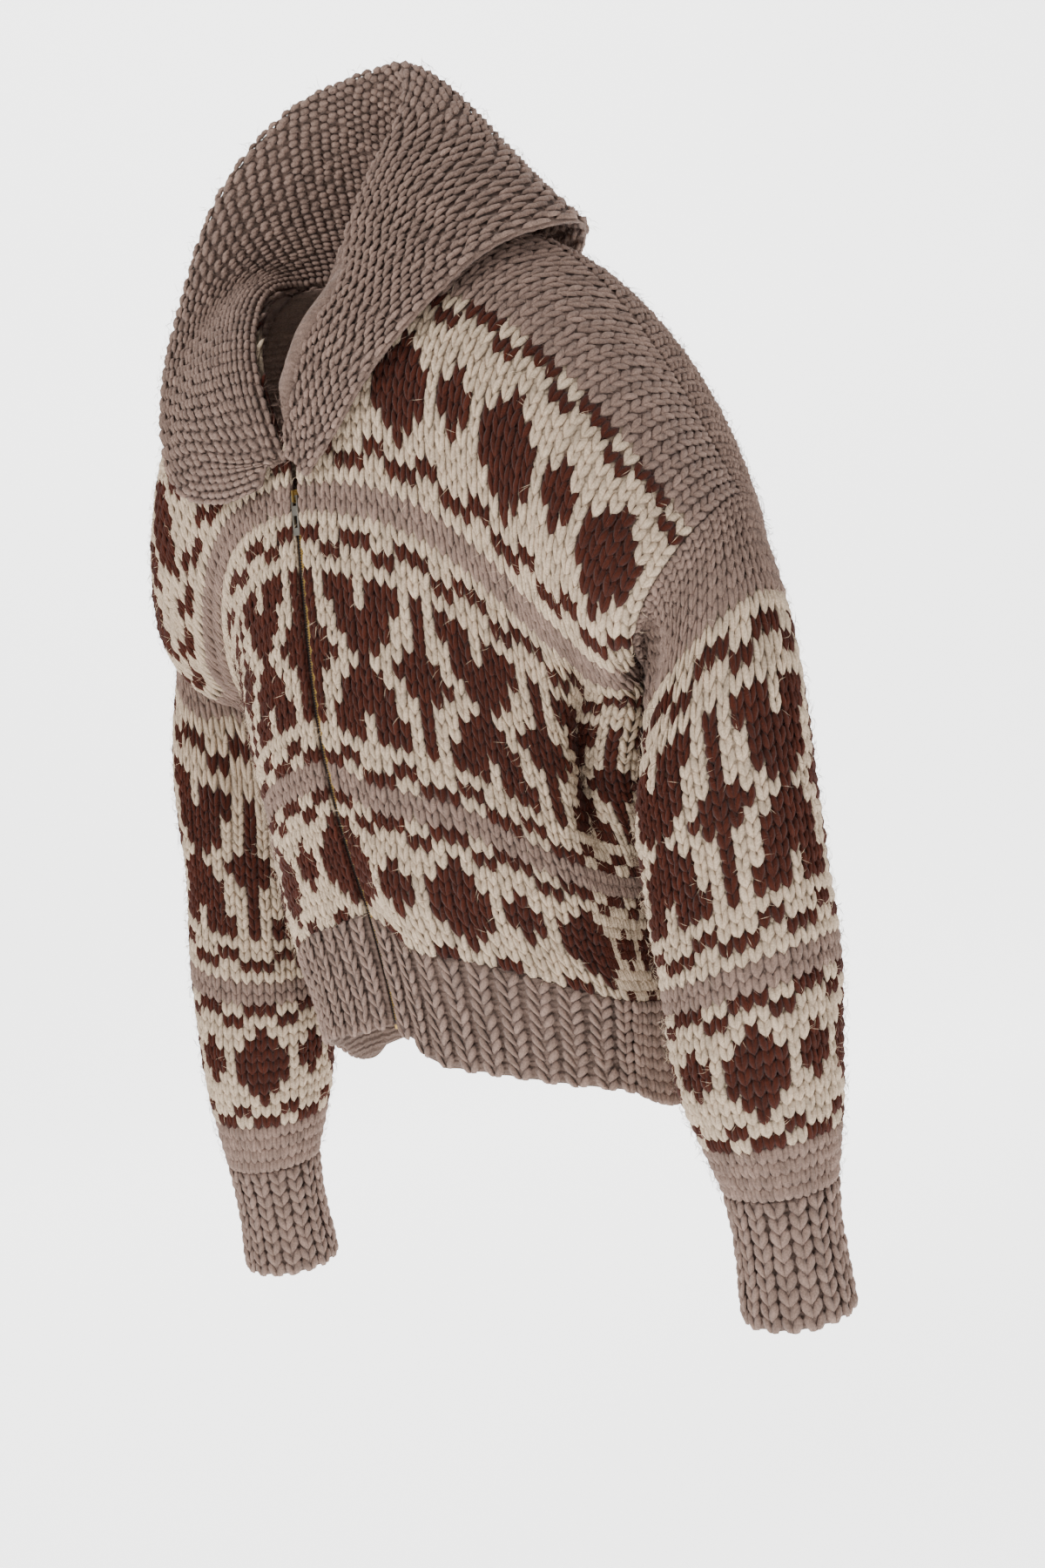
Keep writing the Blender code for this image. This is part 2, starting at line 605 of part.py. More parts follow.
def bezier(points, count):
    t = np.linspace(0, 1, count + 1)[:, None]
    a, b, c, d = points
    return a * (1 - t) ** 3 + 3 * b * t * (1 - t) ** 2 + 3 * c * t * t * (1 - t) + d * t**3


@lru_cache(maxsize=None)
def body_samples():
    """Points and outward normals of the knitting that the collar lies over."""
    found = []
    for face in (FRONT, BACK):
        for side in (LEFT, RIGHT):
            for width in np.arange(0.005, 0.30, SAMPLE_STEP):
                for cloth in np.arange(0.001, 0.36, SAMPLE_STEP):
                    if cloth > neck_cloth(face, width):
                        found.append(body_frame(face, side, width / HALF_WIDTH, cloth)[:2])
    return np.array([f[0] for f in found]), np.array([f[1] for f in found])


def held_off(point, need):
    """The point moved out until it clears the body's inner face by this much."""
    places, normals = body_samples()
    away = point - places
    nearest = int(np.argmin((away**2).sum(axis=1)))
    height = float(away[nearest] @ normals[nearest])
    beside = np.linalg.norm(away[nearest] - normals[nearest] * height)
    if beside > SAMPLE_STEP * 1.5 or height >= need:
        return point
    return point + normals[nearest] * (need - height)


def collar_section(face, side, width, round_share):
    """One section of the collar: up from its seam on the body to the crest, over, and down to its edge.

    Also gives the way into the body's cloth at the seam and the collar's thickness there.
    """
    cloth = max(neck_cloth(face, width), SEAM)
    edge_point, normal, along, down = body_frame(face, side, width / HALF_WIDTH, cloth)
    slope = (neck_cloth(face, width + 0.002) - neck_cloth(face, width - 0.002)) / 0.004
    inward = down - along * slope
    inward /= np.linalg.norm(inward)
    if cloth <= SEAM:
        normal = seam_normal(side, width / HALF_WIDTH, SEAM)
    seam = edge_point + normal * (knit_at(face, width) + COLLAR_GAP)
    thick = COLLAR_KNIT * min(1.0, COLLAR_END_SHARE + (1 - COLLAR_END_SHARE) * round_share / 0.25)
    table = COLLAR[side]
    crest = smooth_read(table, "round", "crest", round_share) * np.array([side, 1, 1])
    edge_width = float(smooth_read(table, "round", "width", round_share))
    edge_cloth = float(smooth_read(table, "round", "cloth", round_share))
    lift = float(smooth_read(table, "round", "lift", round_share))
    roll = float(smooth_read(table, "round", "roll", round_share))
    edge_face = FRONT if edge_cloth > 0 else BACK
    edge, edge_normal, _, _ = body_frame(edge_face, side, edge_width / HALF_WIDTH, abs(edge_cloth))
    clear = KNIT + COLLAR_CLEAR + thick + lift
    edge = edge + edge_normal * clear
    over = edge - crest
    over[2] = 0
    reach = np.linalg.norm(over)
    over /= max(reach, 1e-6)
    flat = over - edge_normal * (over @ edge_normal)
    rise = np.linalg.norm(crest - seam)
    fall = np.linalg.norm(edge - crest)
    stand = bezier([seam, seam + normal * 0.35 * rise, crest - over * min(0.02, 0.4 * rise), crest], COLLAR_STEPS)
    lie = edge - flat * LIE_SHARE * reach + edge_normal * 0.05 * fall
    drop = bezier([crest, crest + over * min(roll, 0.6 * fall), lie, edge], COLLAR_STEPS)
    points = np.concatenate([stand, drop[1:]])
    for k in range(2, len(points)):
        points[k] = held_off(points[k], clear)
    return points, inward, thick


def collar(wool):
    sections = []
    for side in (RIGHT, LEFT):
        stations = neck_stations(side)
        half = []
        for k, (face, _, width) in enumerate(stations):
            half.append(collar_section(face, side, width, k / (len(stations) - 1)))
        sections += half[::-1][1:] if side == LEFT else half
    top = np.array([section[0] for section in sections]).transpose(1, 0, 2)
    normals = np.cross(np.gradient(top, axis=0), np.gradient(top, axis=1))
    normals /= np.linalg.norm(normals, axis=2)[:, :, None]
    inward = np.array([section[1] for section in sections])
    if (normals[0] * inward).sum() < 0:
        normals = -normals
    normals[0] = inward
    shares = np.ones(len(top))
    shares[:2] = COLLAR_FOOT
    thick = shares[:, None] * np.array([section[2] for section in sections])[None, :]
    under = top + normals * thick[:, :, None]
    for i, j in np.ndindex(under.shape[:2]):
        if i > 0:
            under[i, j] = held_off(under[i, j], KNIT + COLLAR_CLEAR)
    return wall("collar", top, under, wool)


def zip_line(cloth):
    """Middle of the zip at this cloth: point on the fronts' inner face, outward normal and way down."""
    point, normal, _, down = body_frame(FRONT, LEFT, 0.002, cloth)
    centre = np.array([0.0, point[1], point[2]])
    outward = np.array([0.0, normal[1], normal[2]])
    outward /= np.linalg.norm(outward)
    way = np.array([0.0, down[1], down[2]])
    return centre, outward, way / np.linalg.norm(way)


def hem_zip_line(share):
    """The zip behind the hem ribbing."""
    point, _ = hem_point(FRONT, LEFT, FRONT_EDGE, FRONT_EDGE, share)
    return np.array([0.0, point[1], point[2]]), np.array([0.0, -1.0, 0.0]), np.array([0.0, 0.0, -1.0])


def zip_stations(first_cloth):
    """Frames down the zip from this cloth to the hem."""
    body = [zip_line(c) for c in np.linspace(first_cloth, BODY_LENGTH - ZIP_END, 13)]
    hem = [hem_zip_line(s) for s in (0.08, 0.4, 0.7, 0.985)]
    return body + hem


def zip_strip(name, stations, half, set_out, thick, metal_or_cloth):
    """A flat strip down the zip: half gives its two edges in x at each station."""
    front_face, rear_face = [], []
    for (centre, outward, _), (left, right) in zip(stations, half):
        row = [centre + np.array([x, 0, 0]) for x in (left, right)]
        rear_face.append([p + outward * set_out for p in row])
        front_face.append([p + outward * (set_out + thick) for p in row])
    return wall(name, np.array(rear_face), np.array(front_face), metal_or_cloth)


def zip_tape(side, tape_material):
    """A tape that follows the inner face of its front, from above the slider to the hem."""
    rear, front_face = [], []
    inner_edge = CHAIN_WIDTH / 2 + SEAM
    below = SLIDER_CLOTH + SLIDER_LENGTH
    body = [SLIDER_CLOTH - TAPE_ABOVE, SLIDER_CLOTH, below + SEAM, below + TAPE_CLOSES]
    body += list(np.linspace(below + 2 * TAPE_CLOSES, BODY_LENGTH - ZIP_END, 12))
    hem = [0.08, 0.4, 0.7, 0.985]
    for k in range(len(body) + len(hem)):
        spread = TAPE_SPREAD[k] if k < len(TAPE_SPREAD) else 0.0
        row = []
        for share in (0.0, 0.5, 1.0):
            width = inner_edge + spread + TAPE_WIDTH * share
            if k < len(body):
                point, normal, _, _ = body_frame(FRONT, side, width / HALF_WIDTH, body[k])
            else:
                point, normal = hem_point(FRONT, side, FRONT_EDGE, max(width, FRONT_EDGE), hem[k - len(body)])
            point = np.array([side * width, point[1], point[2]])
            row.append((point - normal * TAPE_GAP, point - normal * (TAPE_GAP + TAPE_THICK)))
        front_face.append([r[0] for r in row])
        rear.append([r[1] for r in row])
    return wall(f"zip_tape_{SIDE_NAME[side]}", np.array(rear), np.array(front_face), tape_material)


def zip_chain(brass):
    stations = zip_stations(SLIDER_CLOTH + SLIDER_LENGTH * CHAIN_STARTS)
    edges = [(-CHAIN_WIDTH / 2, CHAIN_WIDTH / 2)] * len(stations)
    return zip_strip("zip_chain", stations, edges, CHAIN_SET_OUT - CHAIN_THICK, CHAIN_THICK, brass)


def slider_frame():
    """Frame of the slider: x across, y down the zip, z outwards, with its origin on the chain's front face."""
    centre, outward, way = zip_line(SLIDER_CLOTH + SLIDER_LENGTH / 2)
    origin = centre + outward * CHAIN_SET_OUT
    return Matrix(
        (
            (1, 0, 0, origin[0]),
            (0, way[1], outward[1], origin[1]),
            (0, way[2], outward[2], origin[2]),
            (0, 0, 0, 1),
        )
    )


def add_block(shape, size, place, frame):
    """A box of this size at this place of the frame, added to the mesh."""
    made = bmesh.ops.create_cube(shape, size=1.0)["verts"]
    bmesh.ops.transform(shape, matrix=frame @ Matrix.Translation(place) @ Matrix.Diagonal((*size, 1)), verts=made)


def block_object(name, blocks, frame, material, cutter=False):
    shape = bmesh.new()
    for size, place in blocks:
        add_block(shape, size, place, frame)
    bmesh.ops.recalc_face_normals(shape, faces=shape.faces)
    mesh = bpy.data.meshes.new(name)
    shape.to_mesh(mesh)
    shape.free()
    obj = finish_object(name, mesh, material)
    if cutter:
        obj.hide_render = True
        obj.display_type = "WIRE"
    return obj


def boolean(obj, other, operation):
    modifier = obj.modifiers.new(f"{operation.lower()} {other.name}", "BOOLEAN")
    modifier.operation = operation
    modifier.object = other
    other.hide_render = True
    other.display_type = "WIRE"


def bridge_height():
    """Distance from the slider's front plate to the middle of the pull's bar."""
    return BRIDGE_TUNNEL / 2


def zip_slider(brass):
    """Two plates joined by a post above the chain, with a bridge in front for the pull's bar."""
    frame = slider_frame()
    front = CHAIN_PLAY + PLATE_THICK / 2
    rear = -CHAIN_THICK - CHAIN_PLAY - PLATE_THICK / 2
    plate = (SLIDER_WIDTH, SLIDER_LENGTH, PLATE_THICK)
    post_y = -SLIDER_LENGTH / 2 + POST_LENGTH / 2 + PLATE_THICK / 3
    slider = block_object("zip_slider", [(plate, (0, 0, front))], frame, brass)
    span = front - rear
    leg_height = BRIDGE_TUNNEL + BRIDGE_BAR / 2 + PLATE_THICK / 2
    leg = (BRIDGE_WIDTH * 0.8, BRIDGE_BAR * 0.8, leg_height)
    leg_middle = front + leg_height / 2
    joins = {
        "rear plate": (plate, (0, 0, rear)),
        "post": ((SLIDER_WIDTH * 0.36, POST_LENGTH, span), (0, post_y, (front + rear) / 2)),
        "bridge top leg": (leg, (0, -BRIDGE_LENGTH / 2, leg_middle)),
        "bridge lower leg": (leg, (0, BRIDGE_LENGTH / 2, leg_middle)),
        "bridge bar": (
            (BRIDGE_WIDTH, BRIDGE_LENGTH + 1.3 * BRIDGE_BAR, BRIDGE_BAR),
            (0, 0, CHAIN_PLAY + PLATE_THICK + BRIDGE_TUNNEL + BRIDGE_BAR / 2),
        ),
    }
    for name, (size, place) in joins.items():
        boolean(slider, block_object(name, [(size, place)], frame, brass, cutter=True), "UNION")
    return slider


def pull_pivot():
    """The pull's hinge: a line across the zip through the slider's bridge."""
    return slider_frame() @ Vector((0, 0, CHAIN_PLAY + PLATE_THICK + bridge_height()))


def zip_pull(antique):
    """A flat pull that hangs from a bar through the bridge, with a window for the bridge and a slot below."""
    pivot = pull_pivot()
    frame = slider_frame()
    frame.translation = Vector((0, 0, 0))
    top = -PULL_BAR / 2
    pull = block_object(
        "zip_pull", [((PULL_WIDTH, PULL_LENGTH, PULL_THICK), (0, top + PULL_LENGTH / 2, 0))], frame, antique
    )
    window_width, window_length = PULL_WINDOW
    slot_width, slot_length = PULL_SLOT
    cuts = {
        "pull window": (
            (window_width, window_length, 4 * PULL_THICK),
            (0, PULL_BAR / 2 + window_length / 2, 0),
        ),
        "pull slot": ((slot_width, slot_length, 4 * PULL_THICK), (0, PULL_SLOT_FROM + slot_length / 2, 0)),
    }
    for name, (size, place) in cuts.items():
        cutter = block_object(name, [(size, place)], frame, antique, cutter=True)
        cutter.location = pivot
        boolean(pull, cutter, "DIFFERENCE")
    pull.location = pivot
    return pull


def zip_stop(brass):
    """The box at the foot of the zip that holds both sides together."""
    width, height, thick = STOP_SIZE
    centre, _, _ = hem_zip_line(1.0)
    place = Matrix.Translation(Vector(centre) + Vector((0, -CHAIN_SET_OUT + CHAIN_THICK / 2, STOP_RISE - height / 2)))
    return block_object("zip_stop", [((width, thick, height), (0, 0, 0))], place, brass)


def main():
    for obj in list(bpy.data.objects):
        bpy.data.objects.remove(obj)
    body_wool = new_material("knitted_wool_body", (0.33, 0.24, 0.19), 0.95)
    taupe_wool = new_material("ribbed_wool_taupe", (0.22, 0.16, 0.13), 0.95)
    tape_material = new_material("zip_tape_cotton", (0.12, 0.10, 0.09), 0.90)
    brass = new_material("zip_brass", (0.52, 0.42, 0.24), 0.35, 1.0)
    antique = new_material("zip_pull_antique_silver", (0.35, 0.32, 0.28), 0.40, 1.0)
    back_panel(body_wool)
    hem_back(taupe_wool)
    collar(taupe_wool)
    for side in (LEFT, RIGHT):
        front_panel(side, body_wool)
        sleeve(side, body_wool)
        cuff(side, taupe_wool)
        hem_front(side, taupe_wool)
        zip_tape(side, tape_material)
    zip_chain(brass)
    zip_slider(brass)
    zip_pull(antique)
    zip_stop(brass)


main()
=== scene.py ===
"""Looks of the chunky hand-knit cardigan: stitches, ribbing, moss collar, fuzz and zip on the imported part.

Metres, +Z up. The garment faces -Y, so +X is the wearer's left. The origin lies midway between
the shoulders. Panels are worked out in their own cloth, as in the part: "across" runs from the
centre line (0) to the side (1), and "cloth" is the length of knitting below the shoulder line.
"""

import math
from functools import lru_cache

import bmesh
import bpy
import numpy as np
from mathutils import Matrix, Vector

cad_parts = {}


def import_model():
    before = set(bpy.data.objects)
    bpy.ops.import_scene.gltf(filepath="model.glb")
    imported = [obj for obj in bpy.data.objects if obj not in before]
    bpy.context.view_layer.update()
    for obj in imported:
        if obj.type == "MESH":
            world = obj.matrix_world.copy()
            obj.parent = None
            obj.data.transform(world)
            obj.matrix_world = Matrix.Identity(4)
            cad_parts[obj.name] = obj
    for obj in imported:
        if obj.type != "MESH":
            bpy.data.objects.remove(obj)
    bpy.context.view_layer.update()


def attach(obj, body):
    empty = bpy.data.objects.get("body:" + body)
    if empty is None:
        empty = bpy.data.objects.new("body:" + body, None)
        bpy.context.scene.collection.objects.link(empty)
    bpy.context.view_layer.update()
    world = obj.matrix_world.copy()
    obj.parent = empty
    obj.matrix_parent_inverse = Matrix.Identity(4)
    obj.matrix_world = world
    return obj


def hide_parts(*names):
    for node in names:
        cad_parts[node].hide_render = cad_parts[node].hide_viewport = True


bl_info = {
    "name": "Chunky knit cardigan",
    "version": (1, 0, 0),
    "blender": (4, 5, 0),
    "location": "3D View > Sidebar > Cardigan",
    "description": "Builds the knitting, the collar, the zip and the studio of a hand-knit cardigan",
    "category": "Object",
}


def table(names, rows):
    """Rows of values as dictionaries under these names."""
    return [dict(zip(names.split(), row)) for row in rows]


# Thickness of the knitting and the gaps left at seams
KNIT = 0.006
EDGE_KNIT = 0.0040
COLLAR_KNIT = 0.009
SEAM = 0.0003
RIB_SEAM = 0.0008

# The cut of a half front or half back, as knitted flat
HALF_WIDTH = 0.40
BODY_LENGTH = 0.608
ARMHOLE = 0.28
NECK_WIDTH = 0.08
FRONT_NECK_DROP = 0.233
BACK_NECK_DROP = 0.083
NECK_BOW = 0.012
SHOULDER_ROUND = 0.208
SHOULDER_FALL = 0.14
SIDE_EXTRA_FALL = -0.055
EVEN_SHARE = 0.62

# The shoulders are pulled apart: extra width beside the neck and along the shoulder, fading downwards
NECK_SPREAD = 0.030
SHOULDER_SPREAD = 0.060
SPREAD_ENDS = 0.34
ROW_LEVEL = 1.2
SHOULDER_REACH = {1: 0.0, -1: -0.016}

# Where the ribbing starts and ends, as heights at the centre front, the side and the centre back
RIB_TOP = {"front": -0.540, "side": -0.634, "back": -0.604}
HEM = {"front": -0.643, "side": -0.728, "back": -0.700}
ZIP_SAG = {1: 0.030, -1: 0.010}
ZIP_SAG_SHARE = 0.18
RIB_WIDTH = 0.0195
RIB_PULL_IN = 0.94

# Height of the shoulder line against the share of the half width
SHOULDER_LINE = table("across z", [
    (0.00, 0.000),
    (0.25, -0.004),
    (0.45, -0.019),
    (0.60, -0.047),
    (0.75, -0.094),
    (0.88, -0.156),
    (1.00, -0.240),
])

# How far the centre lines stand in front of and behind the shoulder line
CENTRE_LINE = table("cloth front back", [
    (0.208, 0.118, 0.112),
    (0.330, 0.133, 0.112),
    (0.440, 0.142, 0.118),
    (0.530, 0.137, 0.121),
    (0.608, 0.124, 0.112),
])

# Plan of the outer edge: the armhole down to 0.28 of cloth, then the side seam.
# turn is the way a row heads there, in degrees: 0 outwards, 90 round towards the side seam.
OUTER_EDGE = {
    "front": table("cloth x y turn", [
        (0.000, 0.332, 0.036, 0),
        (0.060, 0.346, -0.012, 20),
        (0.120, 0.340, -0.052, 42),
        (0.180, 0.316, -0.070, 68),
        (0.230, 0.281, -0.054, 88),
        (0.280, 0.238, 0.000, 90),
        (0.350, 0.222, 0.002, 90),
        (0.500, 0.217, 0.002, 90),
        (0.608, 0.213, 0.002, 90),
    ]),
    "back": table("cloth x y turn", [
        (0.000, 0.332, 0.036, 0),
        (0.070, 0.326, 0.060, 20),
        (0.140, 0.308, 0.076, 50),
        (0.208, 0.280, 0.072, 80),
        (0.250, 0.258, 0.044, 90),
        (0.280, 0.238, 0.000, 90),
        (0.350, 0.222, 0.002, 90),
        (0.500, 0.217, 0.002, 90),
        (0.608, 0.213, 0.002, 90),
    ]),
}

# Folds of the body: a soft ridge (depth > 0) or trough (depth < 0), centred at cloth and across,
# reaching "long" along the column and "wide" along the row; lean slants it.
FOLD_NAMES = "cloth long across wide lean depth"
FOLDS = {
    ("front", 1): table(FOLD_NAMES, [
        (0.345, 0.150, 0.80, 0.10, 0.0, -0.034),
        (0.290, 0.100, 0.91, 0.08, 0.0, 0.016),
        (0.450, 0.130, 0.46, 0.16, -0.9, -0.008),
        (0.560, 0.060, 0.16, 0.16, 0.0, 0.010),
    ]),
    ("front", -1): table(FOLD_NAMES, [
        (0.340, 0.150, 0.82, 0.10, 0.0, -0.030),
        (0.280, 0.100, 0.92, 0.07, 0.0, 0.014),
        (0.470, 0.120, 0.52, 0.16, -0.7, -0.009),
    ]),
    ("back", 1): table(FOLD_NAMES, [
        (0.350, 0.160, 0.80, 0.10, 0.0, -0.026),
        (0.430, 0.140, 0.44, 0.14, -0.6, -0.008),
    ]),
    ("back", -1): table(FOLD_NAMES, [
        (0.345, 0.150, 0.82, 0.10, 0.0, -0.024),
        (0.400, 0.150, 0.40, 0.15, -0.5, -0.009),
    ]),
}

# Rings of a hanging sleeve, against the share of its length
SLEEVE_RINGS = table("along x y wide deep outer inner", [
    (0.00, 0.296, 0.002, 0.060, 0.072, -0.240, -0.385),
    (0.15, 0.308, 0.000, 0.069, 0.074, -0.316, -0.432),
    (0.35, 0.311, -0.004, 0.071, 0.075, -0.424, -0.502),
    (0.60, 0.312, -0.007, 0.070, 0.073, -0.559, -0.602),
    (0.85, 0.311, -0.008, 0.062, 0.065, -0.696, -0.710),
    (1.00, 0.313, -0.008, 0.046, 0.047, -0.777, -0.780),
])
# How far a sleeve's end swings outwards, backwards and up from the table; the right one hangs forward
SLEEVE_SWING = {1: (0.0, 0.0, 0.0), -1: (0.008, -0.054, -0.044)}
SWING_POWER = 1.5
SLEEVE_REACH = {1: 0.0, -1: -0.010}
SLEEVE_BLEND = 0.30
SLEEVE_FOLDS = table("along long round wide depth", [
    (0.14, 0.22, 0.37, 0.07, -0.022),
    (0.10, 0.18, 0.45, 0.06, 0.010),
    (0.50, 0.16, 0.16, 0.14, -0.005),
    (0.78, 0.14, 0.30, 0.16, 0.005),
    (0.30, 0.18, 0.72, 0.12, -0.008),
    (0.66, 0.16, 0.84, 0.14, 0.005),
])
UNDERARM_EASE = 0.013
CUFF_HEIGHT = 0.108
CUFF_TAPER = 0.94
CUFF_RIBS = 16

# The collar from the zip end (0) over the shoulder (0.5) to the centre back (1). The crest is the
# fold that it turns over; its edge lies on the body at so much width and cloth (back: negative).
COLLAR_NAMES = "round crest width cloth lift roll"
COLLAR = {
    1: table(COLLAR_NAMES, [
        (0.00, (0.012, -0.138, -0.152), 0.030, 0.238, 0.003, 0.012),
        (0.15, (0.020, -0.122, -0.116), 0.062, 0.212, 0.004, 0.016),
        (0.30, (0.034, -0.098, -0.060), 0.112, 0.160, 0.005, 0.020),
        (0.42, (0.040, -0.074, -0.004), 0.150, 0.105, 0.006, 0.032),
        (0.55, (0.048, -0.038, 0.060), 0.158, 0.045, 0.008, 0.054),
        (0.70, (0.058, 0.006, 0.114), 0.146, -0.050, 0.016, 0.074),
        (0.85, (0.048, 0.028, 0.157), 0.090, -0.115, 0.010, 0.055),
        (1.00, (0.000, 0.030, 0.166), 0.000, -0.140, 0.008, 0.040),
    ]),
    -1: table(COLLAR_NAMES, [
        (0.00, (0.014, -0.140, -0.154), 0.034, 0.242, 0.003, 0.012),
        (0.15, (0.072, -0.138, -0.146), 0.090, 0.236, 0.004, 0.014),
        (0.30, (0.132, -0.126, -0.108), 0.158, 0.192, 0.005, 0.016),
        (0.42, (0.166, -0.102, -0.048), 0.164, 0.130, 0.006, 0.018),
        (0.55, (0.174, -0.068, 0.030), 0.160, 0.050, 0.008, 0.020),
        (0.70, (0.144, -0.036, 0.102), 0.150, -0.055, 0.010, 0.028),
        (0.85, (0.084, 0.004, 0.154), 0.090, -0.115, 0.010, 0.036),
        (1.00, (0.000, 0.030, 0.166), 0.000, -0.140, 0.008, 0.040),
    ]),
}
LIE_SHARE = 0.35
COLLAR_GAP = 0.0010
COLLAR_CLEAR = 0.0022
COLLAR_END_SHARE = 0.5
SAMPLE_STEP = 0.012

# The zip: a brass chain between two tapes, its slider and the pull
CHAIN_WIDTH = 0.0056
CHAIN_THICK = 0.0024
CHAIN_SET_OUT = 0.0012
FRONT_EDGE = 0.0046
TAPE_WIDTH = 0.0150
TAPE_THICK = 0.0010
TAPE_GAP = 0.0005
TAPE_ABOVE = 0.022
TAPE_SPREAD = (0.0060, 0.0030, 0.0014)
TAPE_CLOSES = 0.008
ZIP_END = 0.004
SLIDER_CLOTH = 0.246
SLIDER_LENGTH = 0.0110
CHAIN_STARTS = 0.4

# How finely the panels are divided
NECK_COLUMNS = 6
PANEL_COLUMNS = 11

FRONT, BACK, LEFT, RIGHT = "front", "back", 1, -1
SIDE_NAME = {LEFT: "left", RIGHT: "right"}


def smooth_read(table, key, name, at):
    """A column of a table read between its rows on a smooth curve."""
    keys = [row[key] for row in table]
    values = [np.asarray(row[name], float) for row in table]
    if at <= keys[0]:
        return values[0]
    if at >= keys[-1]:
        return values[-1]
    i = max(k for k in range(len(keys) - 1) if keys[k] <= at)
    span = keys[i + 1] - keys[i]
    t = (at - keys[i]) / span
    before = values[i] if i == 0 else (values[i + 1] - values[i - 1]) / (keys[i + 1] - keys[i - 1])
    after = (
        values[i + 1]
        if i + 2 == len(keys)
        else (values[i + 2] - values[i]) / (keys[i + 2] - keys[i])
    )
    straight = (values[i + 1] - values[i]) / span
    if i == 0:
        before = straight
    if i + 2 == len(keys):
        after = straight
    return (
        values[i] * (1 + 2 * t) * (1 - t) ** 2
        + before * span * t * (1 - t) ** 2
        + values[i + 1] * t * t * (3 - 2 * t)
        + after * span * t * t * (t - 1)
    )


def run_lengths(line):
    """Lengths along a line of points, from its start to each of them."""
    return np.concatenate([[0], np.cumsum(np.linalg.norm(np.diff(line, axis=0), axis=1))])


def arrays(found):
    """Each part of these tuples as one array."""
    return tuple(np.array(part) for part in zip(*found))


def first_width(face):
    """Where a half panel starts: the fronts stop short of the zip."""
    return FRONT_EDGE if face == FRONT else 0.0


def bump(x):
    """1 at 0, falling softly to 0 at -1 and 1."""
    return np.where(np.abs(x) < 1, np.cos(np.pi / 2 * np.clip(x, -1, 1)) ** 2, 0.0)


def around_height(heights, face, side, across):
    """A height that runs smoothly from a centre line to the side; the zip holds the fronts up."""
    share = 0.5 - 0.5 * np.cos(np.pi * across)
    sag = ZIP_SAG[side] * np.sin(math.pi / 2 * np.minimum(1, across / ZIP_SAG_SHARE)) ** 2 * (1 - share)
    middle = heights[face] - (sag if face == FRONT else 0)
    return middle + (heights["side"] - middle) * share


def round_over(cloth):
    return math.pi / 2 * min(1.0, cloth / SHOULDER_ROUND)


def row_height(face, side, across, cloth):
    """Height of a row of knitting, at shares of its width."""
    shoulder = np.array([smooth_read(SHOULDER_LINE, "across", "z", u) for u in across])
    slack = min(1.0, cloth / SHOULDER_ROUND)
    even = SHOULDER_LINE[-1]["z"] * (0.5 - 0.5 * np.cos(np.pi * across**ROW_LEVEL))
    shoulder = shoulder + (even - shoulder) * slack
    fall = SHOULDER_FALL + SIDE_EXTRA_FALL * across**2
    total = shoulder - around_height(RIB_TOP, face, side, across)
    below = max(0.0, cloth - SHOULDER_ROUND) / (BODY_LENGTH - SHOULDER_ROUND)
    return shoulder - fall * (1 - math.cos(round_over(cloth))) - (total - fall) * below


@lru_cache(maxsize=None)
def row_curve(face, side, cloth):
    """One knitted row in space, from the centre line outwards: points and their lengths along it."""
    u = np.linspace(0, 1, 161)
    sign = -1 if face == FRONT else 1
    depth = smooth_read(CENTRE_LINE, "cloth", face, max(cloth, SHOULDER_ROUND))
    depth = depth * math.sin(round_over(cloth))
    edge = OUTER_EDGE[face]
    end = np.array([smooth_read(edge, "cloth", k, cloth) for k in ("x", "y")])
    if cloth >= ARMHOLE:
        both = [[smooth_read(OUTER_EDGE[f], "cloth", k, cloth) for k in ("x", "y")] for f in (FRONT, BACK)]
        end = np.mean(both, axis=0)
    end[0] += SHOULDER_REACH[side] * max(0.0, 1 - cloth / BODY_LENGTH)
    turn = math.radians(float(smooth_read(edge, "cloth", "turn", cloth)))
    start = np.array([0.0, sign * depth])
    heading = np.array([math.cos(turn), -sign * math.sin(turn)])
    reach = 0.62 * abs(end[1] - start[1]) + 0.10 * (1 - math.sin(turn))
    first = start + np.array([0.60 * end[0], 0.0])
    second = end - heading * reach
    plan = (
        np.outer((1 - u) ** 3, start)
        + np.outer(3 * u * (1 - u) ** 2, first)
        + np.outer(3 * u * u * (1 - u), second)
        + np.outer(u**3, end)
    )
    way = np.gradient(plan, axis=0)
    way /= np.linalg.norm(way, axis=1)[:, None]
    out = np.stack([way[:, 1], -way[:, 0]], axis=1) * (1 if face == FRONT else -1)
    for fold in FOLDS[(face, side)]:
        middle = fold["across"] + fold["lean"] * (cloth - fold["cloth"])
        swell = fold["depth"] * bump((cloth - fold["cloth"]) / fold["long"])
        swell = swell * bump((u - middle) / fold["wide"])
        plan = plan + out * swell[:, None]
    points = np.column_stack([plan, row_height(face, side, u, cloth)])
    return points, run_lengths(points)


def even_width(across, cloth):
    """Width of the knitting from the centre line, with the spread of the shoulders."""
    beside_neck = min(1.0, across * HALF_WIDTH / NECK_WIDTH)
    spread = NECK_SPREAD * beside_neck**2 * (3 - 2 * beside_neck) + SHOULDER_SPREAD * across
    return HALF_WIDTH * across + spread * max(0.0, 1 - cloth / SPREAD_ENDS) ** 2


